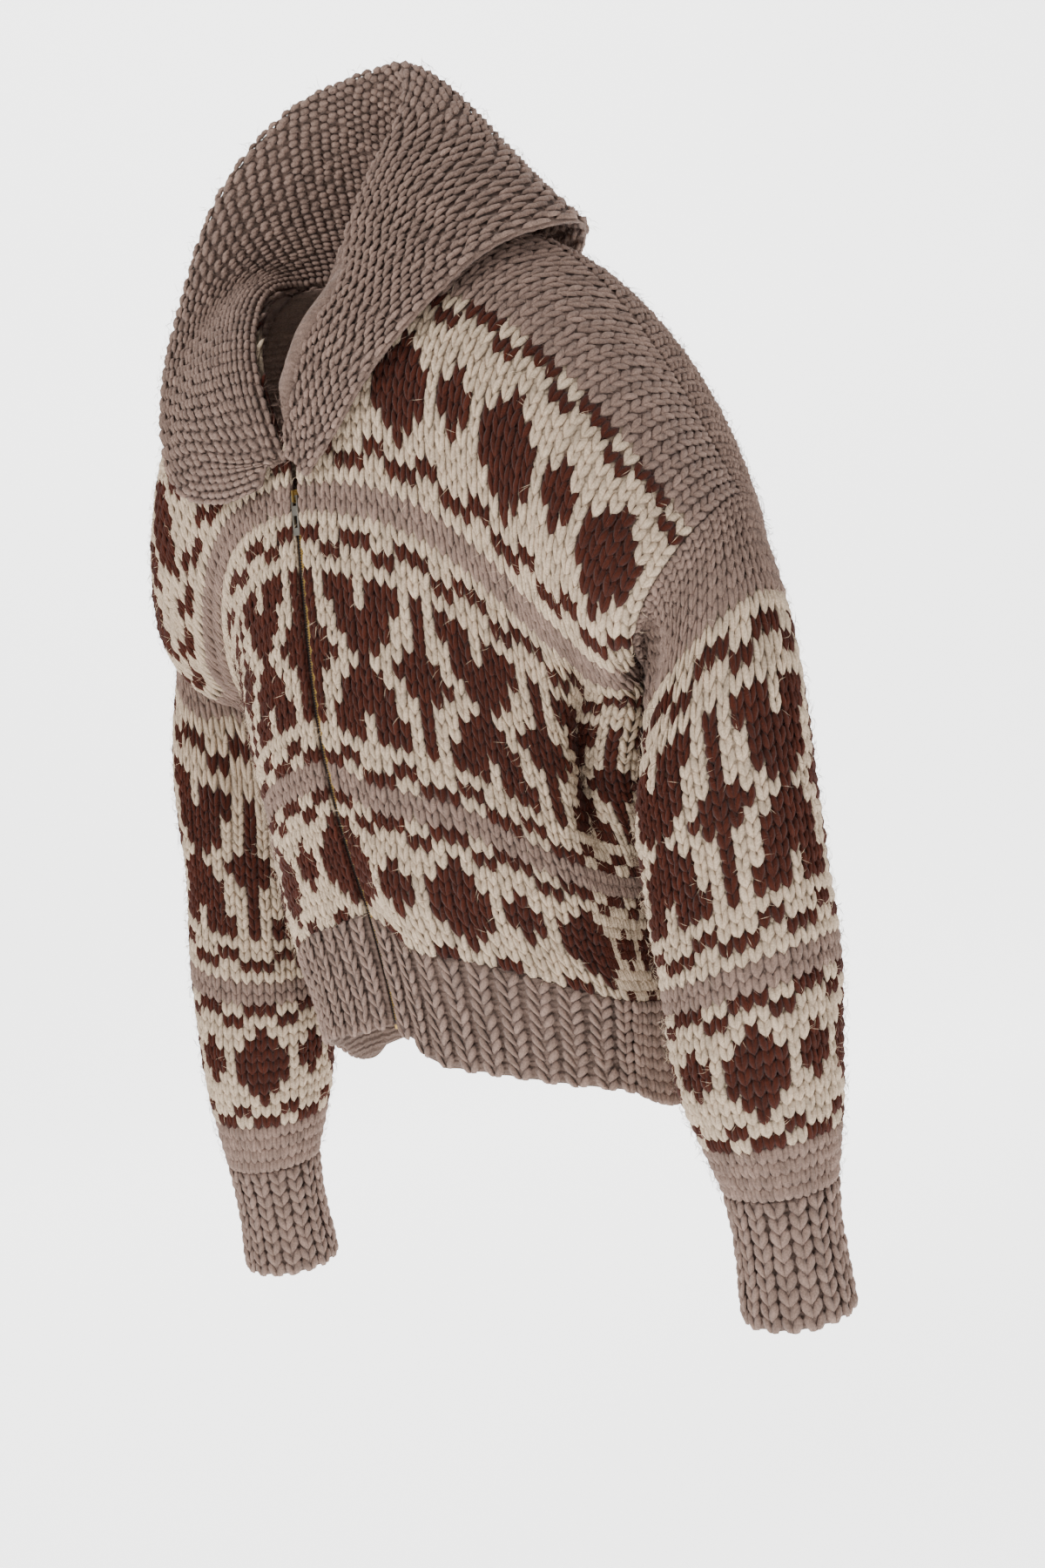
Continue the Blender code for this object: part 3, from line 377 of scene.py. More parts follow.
def body_point(face, side, across, cloth):
    """A point on the body's inner face. Stitches keep their width up to EVEN_SHARE and give beyond it."""
    points, lengths = row_curve(face, side, round(float(cloth), 7))
    even = even_width(min(across, EVEN_SHARE), cloth)
    rest = lengths[-1] - even_width(EVEN_SHARE, cloth)
    at = even + rest * max(0.0, across - EVEN_SHARE) / (1 - EVEN_SHARE)
    x, y, z = (np.interp(at, lengths, points[:, k]) for k in range(3))
    return np.array([side * x, y, z])


def body_frame(face, side, across, cloth):
    """Point, outward normal, way outwards along the row and way down the column."""
    step = 0.004
    low, high = max(0.0, across - step), min(1.0, across + step)
    along = body_point(face, side, high, cloth) - body_point(face, side, low, cloth)
    top, bottom = max(0.0, cloth - 0.002), min(BODY_LENGTH, cloth + 0.002)
    down = body_point(face, side, across, bottom) - body_point(face, side, across, top)
    along /= np.linalg.norm(along)
    down /= np.linalg.norm(down)
    normal = np.cross(down, along) * (side if face == FRONT else -side)
    normal /= np.linalg.norm(normal)
    return body_point(face, side, across, cloth), normal, along, down


def neck_cloth(face, width):
    """Length of cloth cut away for the neck at this distance from the centre line."""
    share = min(1.0, width / NECK_WIDTH)
    if face == FRONT:
        return FRONT_NECK_DROP * (1 - share) + NECK_BOW * math.sin(math.pi * share)
    return BACK_NECK_DROP * math.cos(math.pi / 2 * share)


def panel_columns(first):
    neck = np.linspace(first, NECK_WIDTH, NECK_COLUMNS + 1)
    body = np.linspace(NECK_WIDTH, HALF_WIDTH, PANEL_COLUMNS + 1)[1:]
    return np.concatenate([neck, body])


def add_object(name, mesh, material):
    """A new object of this mesh in this material."""
    mesh.materials.append(material)
    obj = bpy.data.objects.new(name, mesh)
    bpy.context.scene.collection.objects.link(obj)
    return obj


def wall(name, inner, outer, material, closed=False):
    """A wall between two grids of points (rows, columns, xyz); closed joins its last and first columns."""
    rows, columns = inner.shape[:2]
    shape = bmesh.new()
    sheets = [[[shape.verts.new(p) for p in row] for row in grid] for grid in (inner, outer)]
    last = columns if closed else columns - 1
    for i in range(rows - 1):
        for j in range(last):
            k = (j + 1) % columns
            for sheet, flip in zip(sheets, (False, True)):
                corners = [sheet[i][j], sheet[i][k], sheet[i + 1][k], sheet[i + 1][j]]
                shape.faces.new(corners[::-1] if flip else corners)
    rims = [[(i, j) for j in range(columns)] + ([(i, 0)] if closed else []) for i in (0, rows - 1)]
    if not closed:
        rims += [[(i, j) for i in range(rows)] for j in (0, columns - 1)]
    for rim in rims:
        for (i, j), (m, n) in zip(rim, rim[1:]):
            shape.faces.new([sheets[0][i][j], sheets[0][m][n], sheets[1][m][n], sheets[1][i][j]])
    bmesh.ops.recalc_face_normals(shape, faces=shape.faces)
    mesh = bpy.data.meshes.new(name)
    shape.to_mesh(mesh)
    shape.free()
    mesh.shade_smooth()
    return add_object(name, mesh, material)


def seam_normal(side, across, cloth):
    """Outward normal shared by the front and the back where they meet."""
    both = body_frame(FRONT, side, across, cloth)[1] + body_frame(BACK, side, across, cloth)[1]
    return both / np.linalg.norm(both)


def knit_at(face, width):
    """Thickness of the body's knitting; it is pressed flat beside the zip."""
    return KNIT if face == BACK or width > NECK_WIDTH / 3 else EDGE_KNIT


def level(vector):
    flat = np.array([vector[0], vector[1], 0.0])
    return flat / np.linalg.norm(flat)


def panel_point(face, side, width, given):
    """Point of a panel's inner face and its outward normal; seams share theirs with the next panel."""
    across = min(width / HALF_WIDTH, 1 - SEAM / HALF_WIDTH)
    start = max(neck_cloth(face, width), SEAM)
    cloth = start + (BODY_LENGTH - start) * given / BODY_LENGTH
    point, normal, _, _ = body_frame(face, side, across, cloth)
    if cloth <= SEAM:
        normal = seam_normal(side, across, cloth)
    if width >= HALF_WIDTH - SEAM and cloth > ARMHOLE * 0.8:
        normal = seam_normal(side, across, cloth)
    if given == BODY_LENGTH:
        normal = level(normal)
    return point, normal


def sleeve_point(side, turn, along):
    """Inner face of a sleeve. turn is 0 at the outside, 0.25 in front, 0.5 against the body."""
    row = {k: float(smooth_read(SLEEVE_RINGS, "along", k, along)) for k in SLEEVE_RINGS[0] if k != "along"}
    angle = 2 * math.pi * turn
    swell = sum(
        f["depth"]
        * float(bump((along - f["along"]) / f["long"]))
        * float(bump(((turn - f["round"] + 0.5) % 1 - 0.5) / f["wide"]))
        for f in SLEEVE_FOLDS
    )
    x = row["x"] + (row["wide"] + swell) * math.cos(angle)
    y = row["y"] - (row["deep"] + swell) * math.sin(angle)
    z = row["outer"] + (row["inner"] - row["outer"]) * (1 - math.cos(angle)) / 2
    swing = np.array(SLEEVE_SWING[side]) * along**SWING_POWER
    ring = np.array([side * (x + SLEEVE_REACH[side] + swing[0]), y + swing[1], z + swing[2]])
    if along >= SLEEVE_BLEND:
        return ring
    cloth = ARMHOLE * (1 - abs(1 - 2 * turn))
    face = FRONT if turn <= 0.5 else BACK
    edge, _, outward, _ = body_frame(face, side, 1 - SEAM / HALF_WIDTH, cloth)
    start = edge + outward * SEAM
    ease = float(bump((turn - 0.5) / 0.16)) * UNDERARM_EASE
    start = start + np.array([side * ease, 0, 0])
    share = along / SLEEVE_BLEND
    weight = share * share * (3 - 2 * share)
    straight = start + outward * along * 0.25
    return straight * (1 - weight) + ring * weight


def ring_normals(grid, side):
    """Outward normals of a tube of closed rings."""
    round_way = np.roll(grid, -1, axis=1) - np.roll(grid, 1, axis=1)
    down_way = np.gradient(grid, axis=0)
    normals = np.cross(down_way, round_way) * side
    return normals / np.linalg.norm(normals, axis=2)[:, :, None]


@lru_cache(maxsize=None)
def panel_foot(face, side, first):
    """The lowest row of a panel: widths, points and normals."""
    widths = panel_columns(first)
    return widths, *arrays(panel_point(face, side, w, BODY_LENGTH) for w in widths)


def hem_point(face, side, first, width, share):
    """Inner face of the hem ribbing and its outward normal, share 0 at its top and 1 at the hem."""
    widths, points, normals = panel_foot(face, side, first)
    top = np.array([np.interp(width, widths, points[:, k]) for k in range(3)])
    normal = np.array([np.interp(width, widths, normals[:, k]) for k in range(3)])
    pull = 1 + (RIB_PULL_IN - 1) * math.sin(math.pi / 2 * share)
    drop = top[2] - float(around_height(HEM, face, side, width / HALF_WIDTH))
    z = top[2] - RIB_SEAM - (drop - RIB_SEAM) * share
    return np.array([top[0] * pull, top[1] * pull, z]), normal / np.linalg.norm(normal)


def bezier(points, count):
    t = np.linspace(0, 1, count + 1)[:, None]
    a, b, c, d = points
    return a * (1 - t) ** 3 + 3 * b * t * (1 - t) ** 2 + 3 * c * t * t * (1 - t) + d * t**3


@lru_cache(maxsize=None)
def body_samples():
    """Points and outward normals of the knitting that the collar lies over."""
    found = []
    for face in (FRONT, BACK):
        for side in (LEFT, RIGHT):
            for width in np.arange(0.005, 0.30, SAMPLE_STEP):
                for cloth in np.arange(0.001, 0.36, SAMPLE_STEP):
                    if cloth > neck_cloth(face, width):
                        found.append(body_frame(face, side, width / HALF_WIDTH, cloth)[:2])
    return arrays(found)


def held_off(point, need):
    """The point moved out until it clears the body's inner face by this much."""
    places, normals = body_samples()
    away = point - places
    nearest = int(np.argmin((away**2).sum(axis=1)))
    height = float(away[nearest] @ normals[nearest])
    beside = np.linalg.norm(away[nearest] - normals[nearest] * height)
    if beside > SAMPLE_STEP * 1.5 or height >= need:
        return point
    return point + normals[nearest] * (need - height)


def zip_line(cloth):
    """Middle of the zip at this cloth: point on the fronts' inner face, outward normal and way down."""
    point, normal, _, down = body_frame(FRONT, LEFT, 0.002, cloth)
    centre = np.array([0.0, point[1], point[2]])
    outward = np.array([0.0, normal[1], normal[2]])
    outward /= np.linalg.norm(outward)
    way = np.array([0.0, down[1], down[2]])
    return centre, outward, way / np.linalg.norm(way)


def hem_zip_line(share):
    """The zip behind the hem ribbing."""
    point, _ = hem_point(FRONT, LEFT, FRONT_EDGE, FRONT_EDGE, share)
    return np.array([0.0, point[1], point[2]]), np.array([0.0, -1.0, 0.0]), np.array([0.0, 0.0, -1.0])


# The knitting: stitches across a half panel and rows down it, and round and down a sleeve
BODY_STITCHES = 34
SLEEVE_STITCHES = 40
BASE_LOW = 0.0008
BASE_HIGH = 0.0030
STITCH_HEIGHT = 0.0040
CUFF_ROWS = 9
RIB_BASE = 0.0022
RIB_SWELL = 0.0034
RIB_STITCH = 0.0064
RIB_POINTS = 6
# Wave scale that gives purl ridges every 5.7 mm
PURL_SCALE = 55.0
# Where the noise's values lie, and how far the small flecks and the slow drift tint the yarn
NOISE_SPAN = (0.3, 0.7)
FLECK = (0.66, 1.34)
HEATHER = (0.86, 1.14)
# The ground is painted darker than the yarn on it, more so between the ribs: painted shade in the gaps
# between the stitches and deeper painted shade between the ribs
GROUND_PAINTED_SHADE = 0.8
RIB_GROUND_PAINTED_SHADE = 0.72

# One leg of a stitch from its lower tip to its upper tip: share of the stitch beside its middle and
# down it, share of the yarn's full size, and rise above the cloth in yarn thicknesses
LEG = table("beside down full rise", [
    (0.01, 1.48, 0.0, -0.75),
    (0.10, 1.06, 0.72, 0.00),
    (0.215, 0.62, 1.0, 0.30),
    (0.30, 0.18, 0.82, 0.05),
    (0.33, -0.28, 0.0, -0.75),
])
WANDER = 0.035
EDGE_TAIL = 0.12

# Colour charts of one ten-stitch repeat: T taupe, C cream, B brown. Stitch 0 holds the diamonds.
TAUPE_ROW, CREAM_ROW = "TTTTTTTTTT", "CCCCCCCCCC"
WIDE_TEETH, NARROW_TEETH = "BBCCBBBCCB", "CCBBCCCBBC"
DIAMONDS = [
    "BCCCCCCCCC",
    "BBCCCBCCCB",
    "BBBCBBBCBB",
    "BBBCBBBCBB",
    "BBBCCBCCBB",
    "BBCCCCCCCB",
    "BCCCCCCCCC",
]
HOURGLASS = [
    "BCBBBCBBBC",
    "BCBBBCBBBC",
    "BCCBBBBBCC",
    "BCCBBBBBCC",
    "BBCCBBBCCB",
    "BBBCCBCCBB",
    "BBCCBBBCCB",
    "BCCBBBBBCC",
    "BCCBBBBBCC",
    "BCBBBCBBBC",
    "BCBBBCBBBC",
]
TALL_HOURGLASS = HOURGLASS[:3] + HOURGLASS[2:9] + HOURGLASS[8:]
BODY_CHART = (
    8 * [TAUPE_ROW]
    + [WIDE_TEETH, NARROW_TEETH, CREAM_ROW]
    + DIAMONDS
    + [NARROW_TEETH, WIDE_TEETH, CREAM_ROW, TAUPE_ROW, TAUPE_ROW]
    + [CREAM_ROW, WIDE_TEETH, NARROW_TEETH, CREAM_ROW]
    + HOURGLASS
    + [CREAM_ROW, NARROW_TEETH, WIDE_TEETH, TAUPE_ROW, TAUPE_ROW, WIDE_TEETH, NARROW_TEETH]
    + DIAMONDS
    + [NARROW_TEETH]
)
SLEEVE_CHART = (
    8 * [TAUPE_ROW]
    + [CREAM_ROW, WIDE_TEETH, NARROW_TEETH, CREAM_ROW]
    + TALL_HOURGLASS
    + [CREAM_ROW, NARROW_TEETH, WIDE_TEETH, CREAM_ROW, TAUPE_ROW, TAUPE_ROW, WIDE_TEETH, NARROW_TEETH]
    + DIAMONDS
    + [NARROW_TEETH, WIDE_TEETH]
    + 4 * [TAUPE_ROW]
)
SLEEVE_CHART_STARTS = 5
SLEEVE_EASES = 0.12
CUFF_INSET = 0.0075

# The moss stitch of the collar
COLLAR_STEPS = 18
COLLAR_STATIONS = 33
COLLAR_SINK = 0.0020
EDGE_THINS = 0.55
MOSS_PITCH = 0.0105
MOSS_ROW = 0.0064
# One moss stitch: steps beside its middle, share of the yarn's full size, and rise
MOSS_LEG = table("beside full rise", [
    (-0.62, 0.0, -0.5),
    (-0.34, 0.85, 0.1),
    (0.0, 1.0, 0.45),
    (0.34, 0.85, 0.1),
    (0.62, 0.0, -0.5),
])
MOSS_YARN = (0.0032, 0.0023)

# Zip teeth
TOOTH_PITCH = 0.0022
TOOTH_SIZE = (0.0032, 0.0013, 0.0023)
TOOTH_OFFSET = 0.0008
TOOTH_BEVEL = 0.0003

# Loose fibres: how far a root strays, how far a hair stands off and lies over, and its radius
HAIR_STRAY = 0.006
HAIR_BEND = (0.35, 0.40)
HAIR_TIP = (0.50, 1.0)
HAIR_RADIUS = 0.00019

# The studio: the camera's place, its turn round, up and sideways in degrees, and its lens
CAMERA_AT = (1.3838, -1.1819, -0.2060)
CAMERA_TURN = (49.5, 8.5, 9.6)
CAMERA_LENS = 47.52
CAMERA_SHIFT = (0.0361, 0.0163)
FLOOR_HEIGHT = -1.45
SWEEP_STARTS, SWEEP_BENDS, SWEEP_RADIUS, SWEEP_TOP, SWEEP_HALF = -5.0, 2.2, 1.6, 5.0, 6.0
PAPER_GLOW = 2.2
WORLD_LIGHT = 0.40
FOCUS = (0, 0, -0.4)


def linear(code):
    """A hex sRGB colour as linear values."""
    values = [int(code[i : i + 2], 16) / 255 for i in (1, 3, 5)]
    return tuple(v / 12.92 if v <= 0.04045 else ((v + 0.055) / 1.055) ** 2.4 for v in values)


def add_node(tree, kind, settings=None, links=None):
    """A shader node with its settings and incoming links: {input: (node, output)} or {input: value}."""
    node = tree.nodes.new(kind)
    for key, value in (settings or {}).items():
        setattr(node, key, value)
    for key, value in (links or {}).items():
        if isinstance(value, tuple) and isinstance(value[0], bpy.types.Node):
            tree.links.new(value[0].outputs[value[1]], node.inputs[key])
        else:
            node.inputs[key].default_value = value
    return node


def plain_material(name, colour, roughness, metallic):
    """A new material with its shader node, ready for more nodes."""
    material = bpy.data.materials.new(name)
    material.use_nodes = True
    shader = material.node_tree.nodes["Principled BSDF"]
    shader.inputs["Base Color"].default_value = (*colour, 1)
    shader.inputs["Roughness"].default_value = roughness
    shader.inputs["Metallic"].default_value = metallic
    return material, shader


def noise(tree, place, scale, detail, roughness=0.5):
    """A noise texture in the object's own space."""
    links = {"Vector": (place, "Object"), "Scale": scale, "Detail": detail, "Roughness": roughness}
    return add_node(tree, "ShaderNodeTexNoise", None, links)


def bands(tree, place, direction, **values):
    """A texture of waves in the object's own space."""
    settings = {"wave_type": "BANDS", "bands_direction": direction}
    return add_node(tree, "ShaderNodeTexWave", settings, {"Vector": (place, "Object"), **values})


def remap(tree, source, span, low, high):
    """The texture's values over this span, stretched from low to high."""
    ends = {"From Min": span[0], "From Max": span[1], "To Min": low, "To Max": high}
    return add_node(tree, "ShaderNodeMapRange", None, {"Value": (source, "Fac"), **ends})


def raise_by(tree, shader, source, strength, distance, **values):
    """Gives the shader a relief that follows the texture."""
    links = {"Height": (source, "Fac"), "Strength": strength, "Distance": distance, **values}
    relief = add_node(tree, "ShaderNodeBump", None, links)
    tree.links.new(relief.outputs["Normal"], shader.inputs["Normal"])


def yarn_material():
    """Heathered wool: each stitch's own colour with lighter and darker fibres, and a soft nap."""
    material, shader = plain_material("heathered_wool_yarn", (0.3, 0.2, 0.15), 0.92, 0.0)
    tree = material.node_tree
    place = add_node(tree, "ShaderNodeTexCoord")
    yarn = add_node(tree, "ShaderNodeAttribute", {"attribute_name": "yarn"})
    fleck = remap(tree, noise(tree, place, 620.0, 3.0, 0.7), NOISE_SPAN, *FLECK)
    heather = remap(tree, noise(tree, place, 70.0, 2.0, 0.6), NOISE_SPAN, *HEATHER)
    product = {"operation": "MULTIPLY"}
    both = add_node(tree, "ShaderNodeMath", product, {0: (fleck, "Result"), 1: (heather, "Result")})
    links = {0: (yarn, "Color"), "Scale": (both, "Value")}
    tint = add_node(tree, "ShaderNodeVectorMath", {"operation": "SCALE"}, links)
    tree.links.new(tint.outputs["Vector"], shader.inputs["Base Color"])
    raise_by(tree, shader, noise(tree, place, 900.0, 3.0, 0.75), 0.55, 0.0009)
    shader.inputs["Sheen Weight"].default_value = 0.06
    shader.inputs["Sheen Roughness"].default_value = 0.6
    shader.inputs["Specular IOR Level"].default_value = 0.15
    return material


def ground_material():
    """The inside of the knitting: the same heathered wool with the low ridges of purl rows."""
    material = yarn_material()
    material.name = "purled_wool_ground"
    tree = material.node_tree
    shader = tree.nodes["Principled BSDF"]
    place = add_node(tree, "ShaderNodeTexCoord")
    values = {"Scale": PURL_SCALE, "Distortion": 3.0, "Detail": 2.0, "Detail Scale": 3.0}
    fine = shader.inputs["Normal"].links[0].from_node
    raise_by(tree, shader, bands(tree, place, "Z", **values), 0.7, 0.0016, Normal=(fine, "Normal"))
    return material


def tape_material():
    """Dark woven cotton zip tape."""
    material, shader = plain_material("woven_cotton_tape", linear("#3A302B"), 0.85, 0.0)
    tree = material.node_tree
    place = add_node(tree, "ShaderNodeTexCoord")
    raise_by(tree, shader, bands(tree, place, "DIAGONAL", Scale=260.0, Distortion=1.0), 0.4, 0.0003)
    return material


def metal_material(name, code, roughness):
    """Rubbed zip metal, a little cloudy."""
    material, shader = plain_material(name, linear(code), roughness, 1.0)
    tree = material.node_tree
    place = add_node(tree, "ShaderNodeTexCoord")
    worn = remap(tree, noise(tree, place, 500.0, 2.0), (0.0, 1.0), roughness - 0.08, roughness + 0.14)
    tree.links.new(worn.outputs["Result"], shader.inputs["Roughness"])
    return material


def the_material(name, make):
    """The material of this name, made once."""
    return bpy.data.materials.get(name) or make()


def wool():
    return the_material("heathered_wool_yarn", yarn_material)


def paint(mesh, colours):
    """Stores a colour for each vertex as the attribute that the yarn reads."""
    layer = mesh.color_attributes.new("yarn", "FLOAT_COLOR", "POINT")
    values = np.column_stack([colours, np.ones(len(colours))]).astype(np.float32)
    layer.data.foreach_set("color", values.ravel())


def mesh_of(name, points, faces, material, colours):
    """An object of many like closed bodies: points (bodies, points, xyz) and the faces of one body."""
    bodies, each = points.shape[:2]
    a, b, c, d = (points[:, list(k)] for k in zip(*[(f[0], f[1], f[2], f[-1]) for f in faces]))
    reach = a - points[:, :1]
    if (np.cross(b - a, c - a) * reach).sum() + (np.cross(c - a, d - a) * reach).sum() < 0:
        faces = [f[::-1] for f in faces]
    sizes = np.array([len(f) for f in faces])
    corners = np.concatenate([np.array(f) for f in faces])
    loops = (np.arange(bodies)[:, None] * each + corners[None, :]).ravel()
    totals = np.tile(sizes, bodies)
    starts = np.concatenate([[0], np.cumsum(totals)[:-1]])
    mesh = bpy.data.meshes.new(name)
    mesh.vertices.add(bodies * each)
    mesh.vertices.foreach_set("co", points.reshape(-1).astype(np.float32))
    mesh.loops.add(len(loops))
    mesh.loops.foreach_set("vertex_index", loops.astype(np.int32))
    mesh.polygons.add(len(totals))
    mesh.polygons.foreach_set("loop_start", starts.astype(np.int32))
    mesh.update(calc_edges=True)
    mesh.shade_smooth()
    if colours is not None:
        paint(mesh, np.repeat(colours, each, axis=0))
    return add_object(name, mesh, material)


def drops(name, centres, across, out, wide, thick, material, colours):
    """Tapered yarn lobes with a diamond section: centres, across and out are (lobes, 5, xyz)."""
    wide = np.asarray(wide)[None, 1:4, None]
    thick = np.asarray(thick)[None, 1:4, None]
    middle, side, lift = centres[:, 1:4], across[:, 1:4] * wide, out[:, 1:4] * thick
    rings = np.stack([middle + side, middle + lift, middle - side, middle - lift], axis=2)
    points = np.concatenate([centres[:, :1], rings.reshape(len(centres), 12, 3), centres[:, 4:]], axis=1)
    faces = [(0, 1 + k, 1 + (k + 1) % 4) for k in range(4)]
    for ring in (1, 5):
        faces += [(ring + k, ring + 4 + k, ring + 4 + (k + 1) % 4, ring + (k + 1) % 4) for k in range(4)]
    faces += [(9 + k, 13, 9 + (k + 1) % 4) for k in range(4)]
    return mesh_of(name, points, faces, material, colours)


def grid_read(grid, rows, columns):
    """A grid (rows, columns, xyz) read between its points, and on in a straight line past its ends."""
    i = np.clip(np.floor(rows).astype(int), 0, grid.shape[0] - 2)
    j = np.clip(np.floor(columns).astype(int), 0, grid.shape[1] - 2)
    a, b = (rows - i)[..., None], (columns - j)[..., None]
    upper = grid[i, j] * (1 - b) + grid[i, j + 1] * b
    lower = grid[i + 1, j] * (1 - b) + grid[i + 1, j + 1] * b
    return upper * (1 - a) + lower * a


def unit(vectors):
    return vectors / np.maximum(np.linalg.norm(vectors, axis=-1, keepdims=True), 1e-9)


def stitches(name, grids, cells, colours, yarn, height, seed):
    """Knit stitches of two legs each on the cells (row, column) of grids (points, normals)."""
    chance = np.random.default_rng(seed)
    points, normals = grids
    wide, thick = yarn
    rows, columns = cells[:, 0][:, None], cells[:, 1][:, None]
    found = []
    for hand in (-1, 1):
        beside = np.array([s["beside"] for s in LEG])[None] * hand
        down = np.array([s["down"] for s in LEG])[None]
        sway = chance.normal(0, WANDER, (len(cells), 1))
        slip = chance.normal(0, WANDER, (len(cells), 1))
        r = np.clip(rows + down + slip, -0.1, points.shape[0] - 1 + EDGE_TAIL)
        c = columns + 0.5 + beside + sway
        out = unit(grid_read(normals, r, c))
        place = grid_read(points, r, c)
        rise = np.array([s["rise"] for s in LEG])[None, :, None] * thick
        rise = rise + chance.normal(0, 0.0003, (len(cells), 1, 1))
        across = grid_read(points, r, c + 0.2) - grid_read(points, r, c - 0.2)
        across = unit(across - out * (across * out).sum(axis=-1, keepdims=True))
        found.append((place + out * (height + rise), across, out))
    centres, across, out = (np.concatenate([f[k] for f in found]) for k in range(3))
    full = [s["full"] for s in LEG]
    shade = np.clip(np.concatenate([colours, colours]) * chance.normal(1, 0.07, (2 * len(cells), 1)), 0, 1)
    wides, thicks = [f * wide for f in full], [f * thick for f in full]
    return drops(name, centres, across, out, wides, thicks, wool(), shade)


def hairs(name, roots, normals, colours, number, length, seed):
    """Loose fibres that stand off the yarn: thin three-sided spikes with a bend."""
    chance = np.random.default_rng(seed)
    pick = chance.integers(0, len(roots), number)
    root, normal = roots[pick], unit(normals[pick])
    stray = unit(chance.normal(0, 1, (number, 3)))
    lean = unit(stray - normal * (stray * normal).sum(axis=1, keepdims=True))
    root = root + lean * chance.uniform(-HAIR_STRAY, HAIR_STRAY, (number, 1)) + normal * 0.0015
    reach = length * chance.uniform(0.45, 1.25, (number, 1))
    first = root + (normal * HAIR_BEND[0] + lean * HAIR_BEND[1]) * reach
    tip = root + (normal * HAIR_TIP[0] + lean * HAIR_TIP[1]) * reach
    tip = tip + chance.normal(0, 0.12, (number, 3)) * reach
    side = unit(np.cross(normal, lean))
    corner = [HAIR_RADIUS * k for k in (side, -0.5 * side + 0.87 * normal, -0.5 * side - 0.87 * normal)]
    points = np.stack([root] + [first + k for k in corner] + [tip], axis=1)
    faces = [(0, 1 + k, 1 + (k + 1) % 3) for k in range(3)] + [(1 + k, 4, 1 + (k + 1) % 3) for k in range(3)]
    # The loose fibres are painted about a quarter lighter than their yarn: a painted highlight for the halo
    # of light that they catch
    shade = np.clip(colours[pick] * chance.normal(1.25, 0.12, (number, 1)), 0, 1)
    return mesh_of(name, points, faces, wool(), shade)


def fuzz_over(name, grid, cells, colours, number, settings, seed):
    """Loose fibres on the stitches of these cells."""
    middle = cells + 0.5
    roots, out = (grid_read(g, middle[:, 0], middle[:, 1]) for g in grid)
    roots = roots + unit(out) * STITCH_HEIGHT
    return hairs(name, roots, out, colours, number, settings.hair_length, settings.seed + seed)


def joined(halves):
    """The grids of one half, or of two halves that share their first column."""
    if len(halves) == 1:
        return halves[0]
    return [np.concatenate([a[:, ::-1], b[:, 1:]], axis=1) for a, b in zip(*halves)]


def yarn_colours(settings, letters):
    """The colours of these chart letters, as rows."""
    table = {"T": settings.taupe, "C": settings.cream, "B": settings.brown}
    return np.array([tuple(table[letter]) for letter in letters])


def chart_letter(chart, row, column):
    return chart[int(np.clip(row, 0, len(chart) - 1))][int(column) % 10]


@lru_cache(maxsize=None)
def body_grid(face, side):
    """Points and outward normals of a half panel at the corners of its stitches."""
    rows = len(BODY_CHART)
    first = first_width(face)
    points, normals = [], []
    for i in range(rows + 1):
        cloth = min(max(BODY_LENGTH * i / rows, SEAM), BODY_LENGTH)
        line, out = [], []
        for j in range(BODY_STITCHES + 1):
            across = (first + (HALF_WIDTH - SEAM - first) * j / BODY_STITCHES) / HALF_WIDTH
            point, normal, _, _ = body_frame(face, side, across, cloth)
            if i == 0 or (j == BODY_STITCHES and cloth > ARMHOLE * 0.8):
                normal = seam_normal(side, across, cloth)
            line.append(point)
            out.append(normal)
        points.append(line)
        normals.append(out)
    return np.array(points), np.array(normals)


def body_cells(face):
    """The stitches of a half panel that the neck leaves."""
    rows = len(BODY_CHART)
    first = first_width(face)
    cells = []
    for i in range(rows):
        for j in range(BODY_STITCHES):
            width = first + (HALF_WIDTH - first) * (j + 0.5) / BODY_STITCHES
            if BODY_LENGTH * (i + 0.5) / rows > neck_cloth(face, width):
                cells.append((i, j))
    return np.array(cells)


@lru_cache(maxsize=None)
def sleeve_grid(side):
    """Points and outward normals at the corners of a sleeve's stitches; the first column comes again last."""
    rows = len(SLEEVE_CHART)
    turns = np.arange(SLEEVE_STITCHES) / SLEEVE_STITCHES
    points = np.array([[sleeve_point(side, t, i / rows) for t in turns] for i in range(rows + 1)])
    normals = -ring_normals(points, side)
    share = np.minimum(1, np.arange(rows + 1) / rows / SLEEVE_EASES)
    points = points - normals * (KNIT * share**2 * (3 - 2 * share))[:, None, None]
    return tuple(np.concatenate([g, g[:, :1]], axis=1) for g in (points, normals))


def shell(name, inner, outer, closed, colours):
    """A thin wall of cloth between two grids, coloured by its grid of colours."""
    obj = wall(name, inner, outer, the_material("purled_wool_ground", ground_material), closed)
    flat = colours.reshape(-1, 3)
    paint(obj.data, np.concatenate([flat, flat]))
    return obj


def show(obj, nodes=()):
    """The piece moves with the garment and stands for these solids."""
    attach(obj, "garment")
    if nodes:
        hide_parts(*nodes)
    return obj


